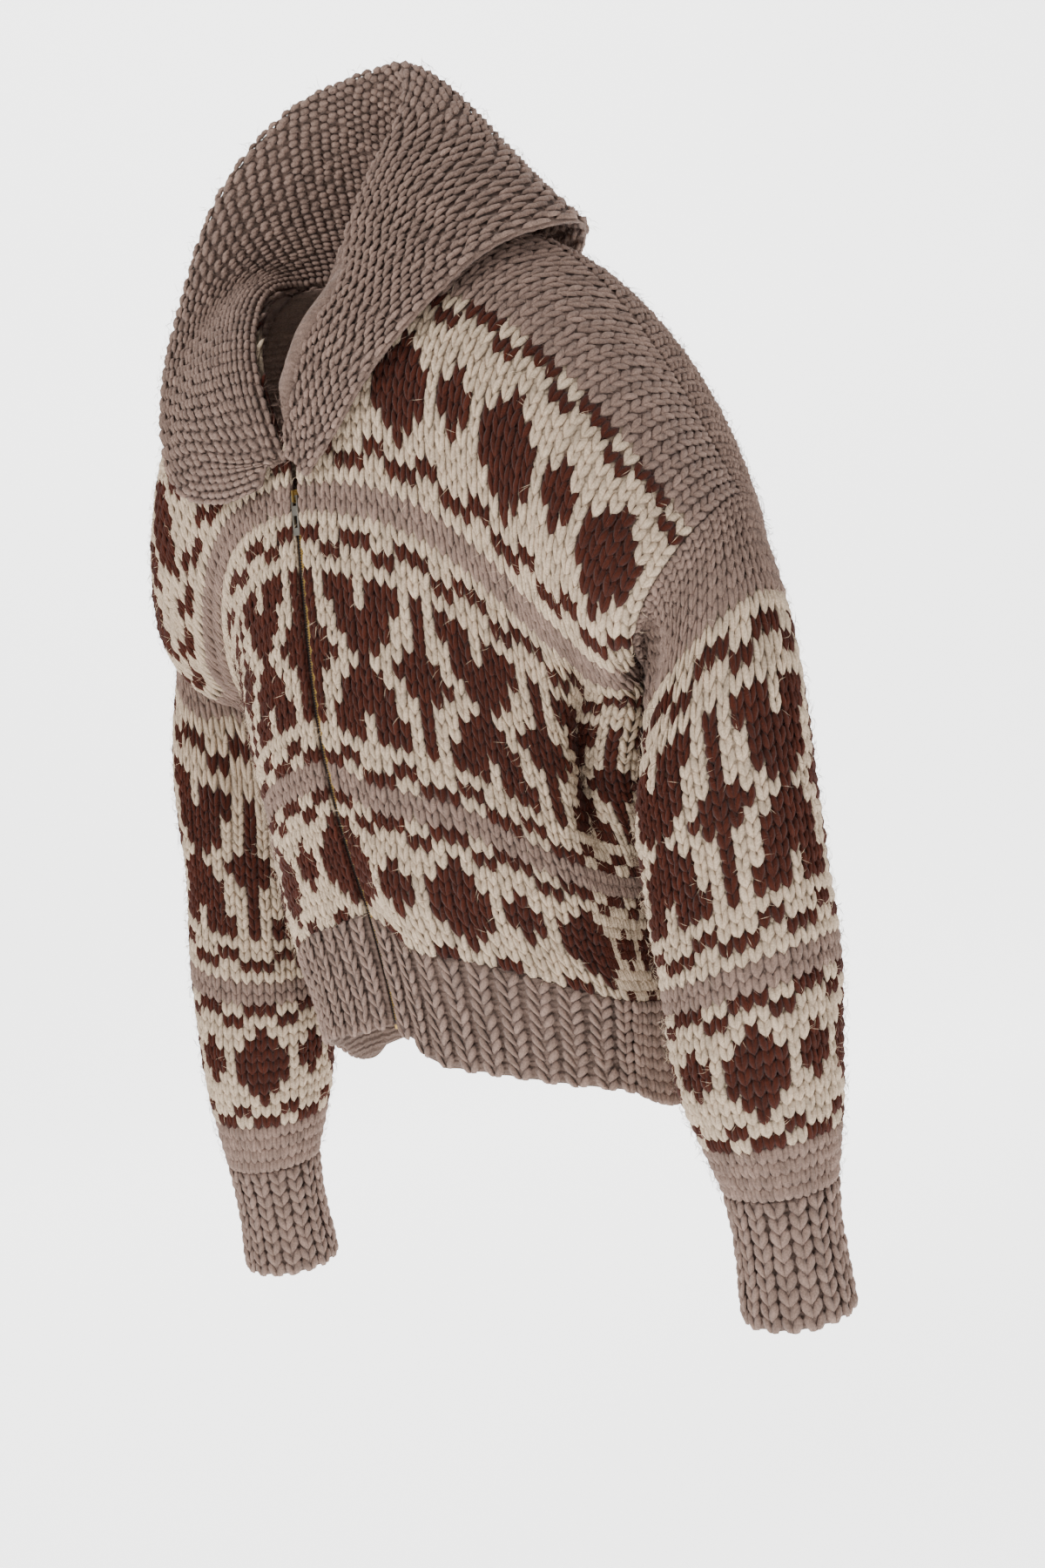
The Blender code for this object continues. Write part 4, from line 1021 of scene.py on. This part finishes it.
def panel_shell(name, face, sides, settings):
    """The ground of a half front or of the whole back, cut out at the neck."""
    widths = np.linspace(first_width(face), HALF_WIDTH, BODY_STITCHES + 1)
    rows = len(BODY_CHART)
    halves = []
    for side in sides:
        inner, outer, paints = [], [], []
        for i in range(rows + 1):
            found = [panel_point(face, side, w, BODY_LENGTH * i / rows) for w in widths]
            starts = [max(neck_cloth(face, w), SEAM) for w in widths]
            cloths = [s + (BODY_LENGTH - s) * i / rows for s in starts]
            inner.append([p + n * BASE_LOW for p, n in found])
            outer.append([p + n * BASE_HIGH for p, n in found])
            letters = [
                chart_letter(BODY_CHART, c * rows / BODY_LENGTH, min(j, BODY_STITCHES - 1))
                for j, c in enumerate(cloths)
            ]
            # The ground is painted darker than its stitches: painted shade in the gaps between them
            paints.append(yarn_colours(settings, letters) * GROUND_PAINTED_SHADE)
        halves.append([np.array(inner), np.array(outer), np.array(paints)])
    inner, outer, paints = joined(halves)
    return shell(name, inner, outer, False, paints)


def rib_profile(columns):
    """Height of the ground of the ribbing over its columns, RIB_POINTS to a rib."""
    return RIB_BASE + RIB_SWELL * (0.5 - 0.5 * np.cos(2 * np.pi * np.arange(columns) / RIB_POINTS))


def rib_shell(name, inner, normals, closed, settings):
    """Corrugated ground of the ribbing on a grid with RIB_POINTS columns to a rib."""
    heights = rib_profile(inner.shape[1])[None, :, None]
    # The rib ground is painted darker still than the body ground: painted shade in the hollows between the
    # ribs
    colours = np.tile(np.array(tuple(settings.taupe)) * RIB_GROUND_PAINTED_SHADE, (*inner.shape[:2], 1))
    return shell(name, inner + normals * BASE_LOW, inner + normals * heights, closed, colours)


def rib_stitches(name, points, normals, settings, seed):
    """A column of stitches on each rib."""
    rows, ribs = points.shape[0] - 1, points.shape[1] - 1
    cells = np.array([(i, j) for i in range(rows) for j in range(ribs)])
    colours = yarn_colours(settings, "T" * len(cells))
    yarn = (settings.yarn_width * 0.62, settings.yarn_thickness * 0.5)
    return stitches(name, (points, normals), cells, colours, yarn, RIB_STITCH, settings.seed + seed)


def cuff_grid(side, columns, rows):
    """Inner face and normals of a cuff on closed rings."""
    turns = np.arange(columns) / columns
    top = np.array([sleeve_point(side, t, 1.0) for t in turns])
    middle = top.mean(axis=0)
    inner = []
    for share in np.linspace(0, 1, rows + 1):
        ring = middle + (top - middle) * (1 + (CUFF_TAPER - 1) * math.sin(math.pi * min(1, share * 1.2)))
        ring[:, 2] = top[:, 2] - RIB_SEAM - (CUFF_HEIGHT - RIB_SEAM) * share
        inner.append(ring)
    inner = np.array(inner)
    normals = -ring_normals(inner, side)
    return inner - normals * CUFF_INSET, normals


def hem_grid(face, side, per_rib, rows):
    """Inner face and normals of a quarter of the hem ribbing."""
    first = first_width(face)
    ribs = round(row_curve(face, side, BODY_LENGTH)[1][-1] / RIB_WIDTH)
    widths = np.linspace(first, HALF_WIDTH, per_rib * ribs + 1)
    shares = np.linspace(0, 1, rows + 1)
    return arrays(arrays(hem_point(face, side, first, w, s) for w in widths) for s in shares)


def fine_collar_section(face, side, width, round_share):
    """One section of the collar: up from its seam on the body to the crest, over, and down to its edge."""
    cloth = max(neck_cloth(face, width), SEAM)
    edge_point, normal, along, down = body_frame(face, side, width / HALF_WIDTH, cloth)
    slope = (neck_cloth(face, width + 0.002) - neck_cloth(face, width - 0.002)) / 0.004
    inward = unit(down - along * slope)
    if cloth <= SEAM:
        normal = seam_normal(side, width / HALF_WIDTH, SEAM)
    seam = edge_point + normal * (knit_at(face, width) + COLLAR_GAP)
    thick = COLLAR_KNIT * min(1.0, COLLAR_END_SHARE + (1 - COLLAR_END_SHARE) * round_share / 0.25)
    table = COLLAR[side]
    crest = smooth_read(table, "round", "crest", round_share) * np.array([side, 1, 1])
    edge_width, edge_cloth, lift, roll = (
        float(smooth_read(table, "round", key, round_share)) for key in ("width", "cloth", "lift", "roll")
    )
    edge_face = FRONT if edge_cloth > 0 else BACK
    edge, edge_normal, _, _ = body_frame(edge_face, side, edge_width / HALF_WIDTH, abs(edge_cloth))
    clear = KNIT + COLLAR_CLEAR + thick + lift
    edge = edge + edge_normal * clear
    over = edge - crest
    over[2] = 0
    reach = np.linalg.norm(over)
    over /= max(reach, 1e-6)
    flat = over - edge_normal * (over @ edge_normal)
    rise, fall = np.linalg.norm(crest - seam), np.linalg.norm(edge - crest)
    turn = crest - over * min(0.02, 0.4 * rise)
    stand = bezier([seam, seam + normal * 0.35 * rise, turn, crest], COLLAR_STEPS)
    lie = edge - flat * LIE_SHARE * reach + edge_normal * 0.05 * fall
    drop = bezier([crest, crest + over * min(roll, 0.6 * fall), lie, edge], COLLAR_STEPS)
    points = np.concatenate([stand, drop[1:]])
    for k in range(COLLAR_STEPS // 3, len(points)):
        points[k] = held_off(points[k], clear)
    return points, inward, thick


@lru_cache(maxsize=None)
def collar_grids():
    """The collar's top face, the way into it and its thickness."""
    sections = []
    for side in (RIGHT, LEFT):
        front = np.linspace(FRONT_EDGE, NECK_WIDTH, COLLAR_STATIONS)
        back = np.linspace(NECK_WIDTH, 0.0, COLLAR_STATIONS)[1:]
        stations = [(FRONT, w) for w in front] + [(BACK, w) for w in back]
        shares = np.arange(len(stations)) / (len(stations) - 1)
        half = [fine_collar_section(face, side, w, s) for (face, w), s in zip(stations, shares)]
        sections += half[::-1][1:] if side == LEFT else half
    top = np.array([section[0] for section in sections]).transpose(1, 0, 2)
    for _ in range(6):
        top[2:-1] = (top[1:-2] + 2 * top[2:-1] + top[3:]) / 4
        top[:, 1:-1] = (top[:, :-2] + 2 * top[:, 1:-1] + top[:, 2:]) / 4
    normals = unit(np.cross(np.gradient(top, axis=0), np.gradient(top, axis=1)))
    inward = np.array([section[1] for section in sections])
    if (normals[0] * inward).sum() < 0:
        normals = -normals
    thick = np.array([section[2] for section in sections])
    return top, normals, thick


def moss_places(top):
    """Rows, columns and column steps of the moss stitches, evenly spaced in real length over the collar."""
    rows, columns = top.shape[0] - 1, top.shape[1] - 1
    crest = run_lengths(top[COLLAR_STEPS])
    count = int(crest[-1] / MOSS_PITCH)
    stations = np.interp((np.arange(count) + 0.5) * crest[-1] / count, crest, np.arange(columns + 1))
    steps = np.gradient(stations)
    found = []
    for station, step in zip(stations, steps):
        section = grid_read(top, np.arange(rows + 1.0), np.full(rows + 1, station))
        line = run_lengths(section)
        number = max(2, int(line[-1] / MOSS_ROW))
        at = np.interp((np.arange(number) + 0.5) * line[-1] / number, line, np.arange(rows + 1))
        found += [(a, station + (k % 2) * 0.5 * step, step) for k, a in enumerate(at)]
    places = np.array(found)
    return places[:, 0], np.minimum(places[:, 1], columns - 0.2), places[:, 2]


def out_of(normals, depth):
    """The step from the collar's top face to its under face, turned round."""
    return -normals * (depth - COLLAR_SINK / 2)


def joined_tooth():
    """One zip tooth modelled at the origin: a small block with rounded edges, as points and faces."""
    bpy.ops.object.select_all(action="DESELECT")
    bpy.ops.mesh.primitive_cube_add(size=1.0, location=(0, 0, 0))
    tooth = bpy.context.object
    tooth.scale = TOOTH_SIZE
    bpy.ops.object.transform_apply(location=False, rotation=False, scale=True)
    bevel = tooth.modifiers.new("Rounded edges", "BEVEL")
    bevel.width = TOOTH_BEVEL
    bevel.segments = 1
    bpy.ops.object.modifier_apply(modifier=bevel.name)
    points = np.array([v.co for v in tooth.data.vertices])
    faces = [tuple(p.vertices) for p in tooth.data.polygons]
    bpy.data.objects.remove(tooth)
    return points, faces


def tooth_frames():
    """Places down the zip from inside the slider to the stop: centres, outward normals and ways down."""
    cloths = np.linspace(SLIDER_CLOTH + SLIDER_LENGTH * CHAIN_STARTS, BODY_LENGTH - ZIP_END, 40)
    line = [zip_line(c) for c in cloths] + [hem_zip_line(s) for s in np.linspace(0.06, 0.95, 12)]
    centres, normals, ways = (np.array([f[k] for f in line]) for k in range(3))
    lengths = run_lengths(centres)
    at = np.arange(TOOTH_PITCH / 2, lengths[-1], TOOTH_PITCH / 2)
    grids = (centres, normals, ways)
    read = [np.column_stack([np.interp(at, lengths, g[:, k]) for k in range(3)]) for g in grids]
    return read[0], unit(read[1]), unit(read[2])


def tape_wall(side):
    """One zip tape behind the edge of its front."""
    rear, near = [], []
    inner_edge = CHAIN_WIDTH / 2 + SEAM
    below = SLIDER_CLOTH + SLIDER_LENGTH
    body = [SLIDER_CLOTH - TAPE_ABOVE, SLIDER_CLOTH, below + SEAM, below + TAPE_CLOSES]
    body += list(np.linspace(below + 2 * TAPE_CLOSES, BODY_LENGTH - ZIP_END, 24))
    hem = [0.08, 0.4, 0.7, 0.985]
    for k in range(len(body) + len(hem)):
        spread = TAPE_SPREAD[k] if k < len(TAPE_SPREAD) else 0.0
        row = []
        for share in (0.0, 0.5, 1.0):
            width = inner_edge + spread + TAPE_WIDTH * share
            if k < len(body):
                point, normal, _, _ = body_frame(FRONT, side, width / HALF_WIDTH, body[k])
            else:
                point, normal = hem_point(FRONT, side, FRONT_EDGE, max(width, FRONT_EDGE), hem[k - len(body)])
            point = np.array([side * width, point[1], point[2]])
            row.append((point - normal * TAPE_GAP, point - normal * (TAPE_GAP + TAPE_THICK)))
        near.append([r[0] for r in row])
        rear.append([r[1] for r in row])
    tape = the_material("woven_cotton_tape", tape_material)
    return wall(f"tape_{SIDE_NAME[side]}", np.array(rear), np.array(near), tape)


class CardiganSettings(bpy.types.PropertyGroup):
    yarn_width: bpy.props.FloatProperty(
        name="Yarn width", description="Width of one leg of a stitch", default=0.0066, unit="LENGTH"
    )
    yarn_thickness: bpy.props.FloatProperty(
        name="Yarn thickness", description="Thickness of one leg of a stitch", default=0.0044, unit="LENGTH"
    )
    taupe: bpy.props.FloatVectorProperty(
        name="Taupe",
        description="Colour of the collar, shoulders and ribbing",
        default=linear("#7F695E"),
        subtype="COLOR",
    )
    cream: bpy.props.FloatVectorProperty(
        name="Cream", description="Ground colour of the pattern", default=linear("#B8A38C"), subtype="COLOR"
    )
    brown: bpy.props.FloatVectorProperty(
        name="Brown", description="Colour of the motifs", default=linear("#3C1507"), subtype="COLOR"
    )
    body_hairs: bpy.props.IntProperty(
        name="Body hairs", description="Loose fibres on the body", default=18000
    )
    sleeve_hairs: bpy.props.IntProperty(
        name="Sleeve hairs", description="Loose fibres on each sleeve", default=5000
    )
    collar_hairs: bpy.props.IntProperty(
        name="Collar hairs", description="Loose fibres on the collar", default=6500
    )
    hair_length: bpy.props.FloatProperty(
        name="Hair length", description="Mean length of a loose fibre", default=0.010, unit="LENGTH"
    )
    seed: bpy.props.IntProperty(name="Seed", description="Start of the random numbers", default=7)


class CARDIGAN_OT_body(bpy.types.Operator):
    """Knit the back and both fronts"""

    bl_idname = "cardigan.body"
    bl_label = "Knit body"

    def execute(self, context):
        settings = context.scene.cardigan
        for name, face, sides in (
            ("back", BACK, (RIGHT, LEFT)),
            ("front_left", FRONT, (LEFT,)),
            ("front_right", FRONT, (RIGHT,)),
        ):
            ground = show(panel_shell(f"{name}_ground", face, sides, settings), (name,))
            cells = body_cells(face)
            colours = yarn_colours(settings, [chart_letter(BODY_CHART, i, j) for i, j in cells])
            yarn = (settings.yarn_width / 2, settings.yarn_thickness / 2)
            for k, side in enumerate(sides):
                grid, seed, end = body_grid(face, side), len(name) + k, SIDE_NAME[side]
                made = stitches(
                    f"{name}_stitches_{end}", grid, cells, colours, yarn, STITCH_HEIGHT, settings.seed + seed
                )
                show(made)
                number = settings.body_hairs // 4
                fuzz = fuzz_over(f"{name}_fuzz_{end}", grid, cells, colours, number, settings, 20 + seed)
                show(fuzz)
        return {"FINISHED"}


class CARDIGAN_OT_sleeves(bpy.types.Operator):
    """Knit both sleeves"""

    bl_idname = "cardigan.sleeves"
    bl_label = "Knit sleeves"

    def execute(self, context):
        settings = context.scene.cardigan
        rows = len(SLEEVE_CHART)
        for side in (LEFT, RIGHT):
            name = f"sleeve_{SIDE_NAME[side]}"
            points, normals = sleeve_grid(side)
            cells = np.array([(i, j) for i in range(rows) for j in range(SLEEVE_STITCHES)])
            letters = [chart_letter(SLEEVE_CHART, i, j - SLEEVE_CHART_STARTS) for i, j in cells]
            colours = yarn_colours(settings, letters)
            yarn = (settings.yarn_width / 2, settings.yarn_thickness / 2)
            grid, seed = (points, normals), settings.seed + 5 + side
            made = stitches(f"{name}_stitches", grid, cells, colours, yarn, STITCH_HEIGHT, seed)
            show(made)
            inner, out = points[:, :-1], normals[:, :-1]
            # The sleeve's ground is painted darker than its stitches: painted shade in the gaps between them
            paints = colours.reshape(rows, SLEEVE_STITCHES, 3) * GROUND_PAINTED_SHADE
            paints = np.concatenate([paints, paints[-1:]])
            ground = shell(f"{name}_ground", inner + out * BASE_LOW, inner + out * BASE_HIGH, True, paints)
            show(ground, (name,))
            number = settings.sleeve_hairs
            fuzz = fuzz_over(f"{name}_fuzz", grid, cells, colours, number, settings, 40 + side)
            show(fuzz)
        return {"FINISHED"}


class CARDIGAN_OT_ribbing(bpy.types.Operator):
    """Knit the hem ribbing and the cuffs"""

    bl_idname = "cardigan.ribbing"
    bl_label = "Knit ribbing"

    def execute(self, context):
        settings = context.scene.cardigan
        for side in (LEFT, RIGHT):
            name = f"cuff_{SIDE_NAME[side]}"
            inner, normals = cuff_grid(side, RIB_POINTS * CUFF_RIBS, CUFF_ROWS)
            ground = show(rib_shell(f"{name}_ground", inner, normals, True, settings), (name,))
            inner, normals = cuff_grid(side, CUFF_RIBS, CUFF_ROWS)
            inner, normals = (np.concatenate([g, g[:, :1]], axis=1) for g in (inner, normals))
            made = show(rib_stitches(f"{name}_stitches", inner, normals, settings, 60 + side))
        for name, face, sides in (
            ("hem_back", BACK, (RIGHT, LEFT)),
            ("hem_left", FRONT, (LEFT,)),
            ("hem_right", FRONT, (RIGHT,)),
        ):
            fine = joined([hem_grid(face, side, RIB_POINTS, CUFF_ROWS) for side in sides])
            coarse = joined([hem_grid(face, side, 1, CUFF_ROWS) for side in sides])
            ground = show(rib_shell(f"{name}_ground", *fine, False, settings), (name,))
            made = show(rib_stitches(f"{name}_stitches", *coarse, settings, 70 + len(sides)))
        return {"FINISHED"}


class CARDIGAN_OT_collar(bpy.types.Operator):
    """Knit the shawl collar in moss stitch"""

    bl_idname = "cardigan.collar"
    bl_label = "Knit collar"

    def execute(self, context):
        settings = context.scene.cardigan
        top, normals, thick = collar_grids()
        # The collar's ground is painted darker than its moss stitches: painted shade in the gaps between them
        colours = np.tile(np.array(tuple(settings.taupe)) * GROUND_PAINTED_SHADE, (*top.shape[:2], 1))
        shares = np.clip(0.5 + 0.5 * np.arange(len(top)) / (COLLAR_STEPS / 3), 0, 1)
        shares = shares * (1 - EDGE_THINS * np.clip((np.arange(len(top)) - len(top) + 5) / 4, 0, 1))
        depth = (shares[:, None] * thick[None, :])[:, :, None]
        sink = np.minimum(COLLAR_SINK, depth * 0.4)
        ground = shell("collar_ground", top + normals * sink, top + normals * depth, False, colours)
        show(ground, ("collar",))
        rows, columns = top.shape[0] - 1, top.shape[1] - 1
        r, c, step = moss_places(top)
        chance = np.random.default_rng(settings.seed + 90)
        offsets = np.array([s["beside"] for s in MOSS_LEG])[None] * step[:, None]
        rr = r[:, None] + chance.normal(0, 0.06, (len(r), 1)) + np.zeros_like(offsets)
        cc = np.clip(c[:, None] + offsets, 0, columns)
        out = -unit(grid_read(normals, rr, cc))
        rise = np.array([s["rise"] for s in MOSS_LEG])[None, :, None] * MOSS_YARN[1]
        place = grid_read(top, rr, cc) + out * rise
        above, below = np.maximum(rr - 0.2, 0), np.minimum(rr + 0.2, rows)
        across = unit(grid_read(top, below, cc) - grid_read(top, above, cc))
        low = rr[:, 2] > rows * 0.62
        under = grid_read(top - out_of(normals, depth), rr[low], cc[low]) - out[low] * rise
        place, across = np.concatenate([place, under]), np.concatenate([across, across[low]])
        out = np.concatenate([out, -out[low]])
        shade = yarn_colours(settings, "T" * len(place)) * chance.normal(1, 0.09, (len(place), 1))
        full = np.array([s["full"] for s in MOSS_LEG])
        wides, thicks = full * MOSS_YARN[0], full * MOSS_YARN[1]
        moss = drops("collar_moss", place, across, out, wides, thicks, wool(), np.clip(shade, 0, 1))
        show(moss)
        number, length = settings.collar_hairs, settings.hair_length
        fuzz = hairs("collar_fuzz", place[:, 2], out[:, 2], shade, number, length, settings.seed + 91)
        show(fuzz)
        return {"FINISHED"}


class CARDIGAN_OT_zip(bpy.types.Operator):
    """Make the zip's tapes and teeth, and finish its slider, pull and stop"""

    bl_idname = "cardigan.zip"
    bl_label = "Make zip"

    def execute(self, context):
        for side in (LEFT, RIGHT):
            tape = show(tape_wall(side), (f"zip_tape_{SIDE_NAME[side]}",))
        brass = the_material("rubbed_brass", lambda: metal_material("rubbed_brass", "#A98A4E", 0.34))
        silver = the_material("antique_silver", lambda: metal_material("antique_silver", "#8C877E", 0.42))
        points, faces = joined_tooth()
        centres, normals, ways = tooth_frames()
        hand = np.where(np.arange(len(centres)) % 2 == 0, 1.0, -1.0)
        x = points[None, :, 0] + (hand * TOOTH_OFFSET)[:, None]
        middle = centres + normals * (CHAIN_SET_OUT - CHAIN_THICK / 2)
        placed = (
            middle[:, None]
            + x[:, :, None] * np.array([1.0, 0, 0])
            + points[None, :, 1:2] * ways[:, None]
            + points[None, :, 2:3] * normals[:, None]
        )
        teeth = mesh_of("zip_teeth", placed, faces, brass, None)
        show(teeth, ("zip_chain",))
        for name, material in (("zip_slider", brass), ("zip_stop", brass), ("zip_pull", silver)):
            obj = bpy.data.objects[name]
            for k in range(len(obj.material_slots)):
                obj.material_slots[k].material = material
        return {"FINISHED"}


class CARDIGAN_OT_studio(bpy.types.Operator):
    """Set up the pale studio, its soft lights and the camera"""

    bl_idname = "cardigan.studio"
    bl_label = "Set up studio"

    def execute(self, context):
        scene = context.scene
        azimuth, elevation, roll = (math.radians(v) for v in CAMERA_TURN)
        level_back = Vector((math.sin(azimuth), -math.cos(azimuth), 0))
        right = Vector((math.cos(azimuth), math.sin(azimuth), 0))
        up = level_back * -math.sin(elevation) + Vector((0, 0, math.cos(elevation)))
        back = level_back * math.cos(elevation) + Vector((0, 0, math.sin(elevation)))
        x_axis = right * math.cos(roll) - up * math.sin(roll)
        y_axis = right * math.sin(roll) + up * math.cos(roll)
        lens = bpy.data.cameras.new("camera")
        lens.sensor_fit = "VERTICAL"
        lens.sensor_height = 36
        lens.lens = CAMERA_LENS
        lens.shift_x, lens.shift_y = CAMERA_SHIFT
        camera = bpy.data.objects.new("camera", lens)
        scene.collection.objects.link(camera)
        turn = Matrix((x_axis, y_axis, back)).transposed().to_4x4()
        camera.matrix_world = Matrix.Translation(CAMERA_AT) @ turn
        scene.camera = camera
        ahead = Vector((-back.x, -back.y, 0)).normalized()
        aside = Vector((ahead.y, -ahead.x, 0))
        profile = [(SWEEP_STARTS, FLOOR_HEIGHT), (SWEEP_BENDS, FLOOR_HEIGHT)]
        for a in np.linspace(0.1, 1.57, 14):
            rise = SWEEP_RADIUS * (1 - math.cos(a))
            profile.append((SWEEP_BENDS + SWEEP_RADIUS * math.sin(a), FLOOR_HEIGHT + rise))
        profile.append((SWEEP_BENDS + SWEEP_RADIUS, SWEEP_TOP))
        ends = (-SWEEP_HALF, SWEEP_HALF)
        verts = [ahead * s + aside * w + Vector((0, 0, z)) for s, z in profile for w in ends]
        faces = [(2 * k, 2 * k + 1, 2 * k + 3, 2 * k + 2) for k in range(len(profile) - 1)]
        mesh = bpy.data.meshes.new("sweep")
        mesh.from_pydata(verts, [], faces)
        mesh.shade_smooth()
        paper, shader = plain_material("matt_white_paper", (0.86, 0.86, 0.85), 0.95, 0.0)
        shader.inputs["Emission Color"].default_value = (1.0, 1.0, 1.0, 1)
        shader.inputs["Emission Strength"].default_value = PAPER_GLOW
        sweep = add_object("sweep", mesh, paper)
        world = bpy.data.worlds.new("studio")
        scene.world = world
        world.use_nodes = True
        backdrop = world.node_tree.nodes["Background"]
        backdrop.inputs["Color"].default_value = (0.98, 0.99, 1.0, 1)
        backdrop.inputs["Strength"].default_value = WORLD_LIGHT
        for name, place, size, power in (
            ("key", right * -1.7 + back * 1.6 + Vector((0, 0, 1.3)), 1.5, 78),
            ("fill", right * 2.2 + back * 1.4 + Vector((0, 0, 0.3)), 2.2, 26),
            ("paper light", ahead * 2.2 + Vector((0, 0, 2.6)), 3.0, 90),
        ):
            lamp = bpy.data.lights.new(name, "AREA")
            lamp.energy = power
            lamp.size = size
            light = bpy.data.objects.new(name, lamp)
            scene.collection.objects.link(light)
            light.location = place
            aim = Vector(FOCUS) if name != "paper light" else ahead * 3.0 + Vector((0, 0, -0.6))
            light.rotation_euler = (aim - place).to_track_quat("-Z", "Y").to_euler()
        return {"FINISHED"}


class CARDIGAN_PT_panel(bpy.types.Panel):
    bl_idname = "CARDIGAN_PT_panel"
    bl_label = "Cardigan"
    bl_space_type = "VIEW_3D"
    bl_region_type = "UI"
    bl_category = "Cardigan"

    def draw(self, context):
        settings = context.scene.cardigan
        for key in ("yarn_width", "yarn_thickness", "taupe", "cream", "brown"):
            self.layout.prop(settings, key)
        for key in ("body_hairs", "sleeve_hairs", "collar_hairs", "hair_length", "seed"):
            self.layout.prop(settings, key)
        for name in ("body", "sleeves", "ribbing", "collar", "zip", "studio"):
            self.layout.operator(f"cardigan.{name}")


CLASSES = (
    CardiganSettings,
    CARDIGAN_OT_body,
    CARDIGAN_OT_sleeves,
    CARDIGAN_OT_ribbing,
    CARDIGAN_OT_collar,
    CARDIGAN_OT_zip,
    CARDIGAN_OT_studio,
    CARDIGAN_PT_panel,
)


def register():
    for item in CLASSES:
        bpy.utils.register_class(item)
    bpy.types.Scene.cardigan = bpy.props.PointerProperty(type=CardiganSettings)


def unregister():
    del bpy.types.Scene.cardigan
    for item in reversed(CLASSES):
        bpy.utils.unregister_class(item)


def main():
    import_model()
    register()
    bpy.ops.cardigan.body()
    bpy.ops.cardigan.sleeves()
    bpy.ops.cardigan.ribbing()
    bpy.ops.cardigan.collar()
    bpy.ops.cardigan.zip()
    bpy.ops.cardigan.studio()


if __name__ == "__main__":
    main()
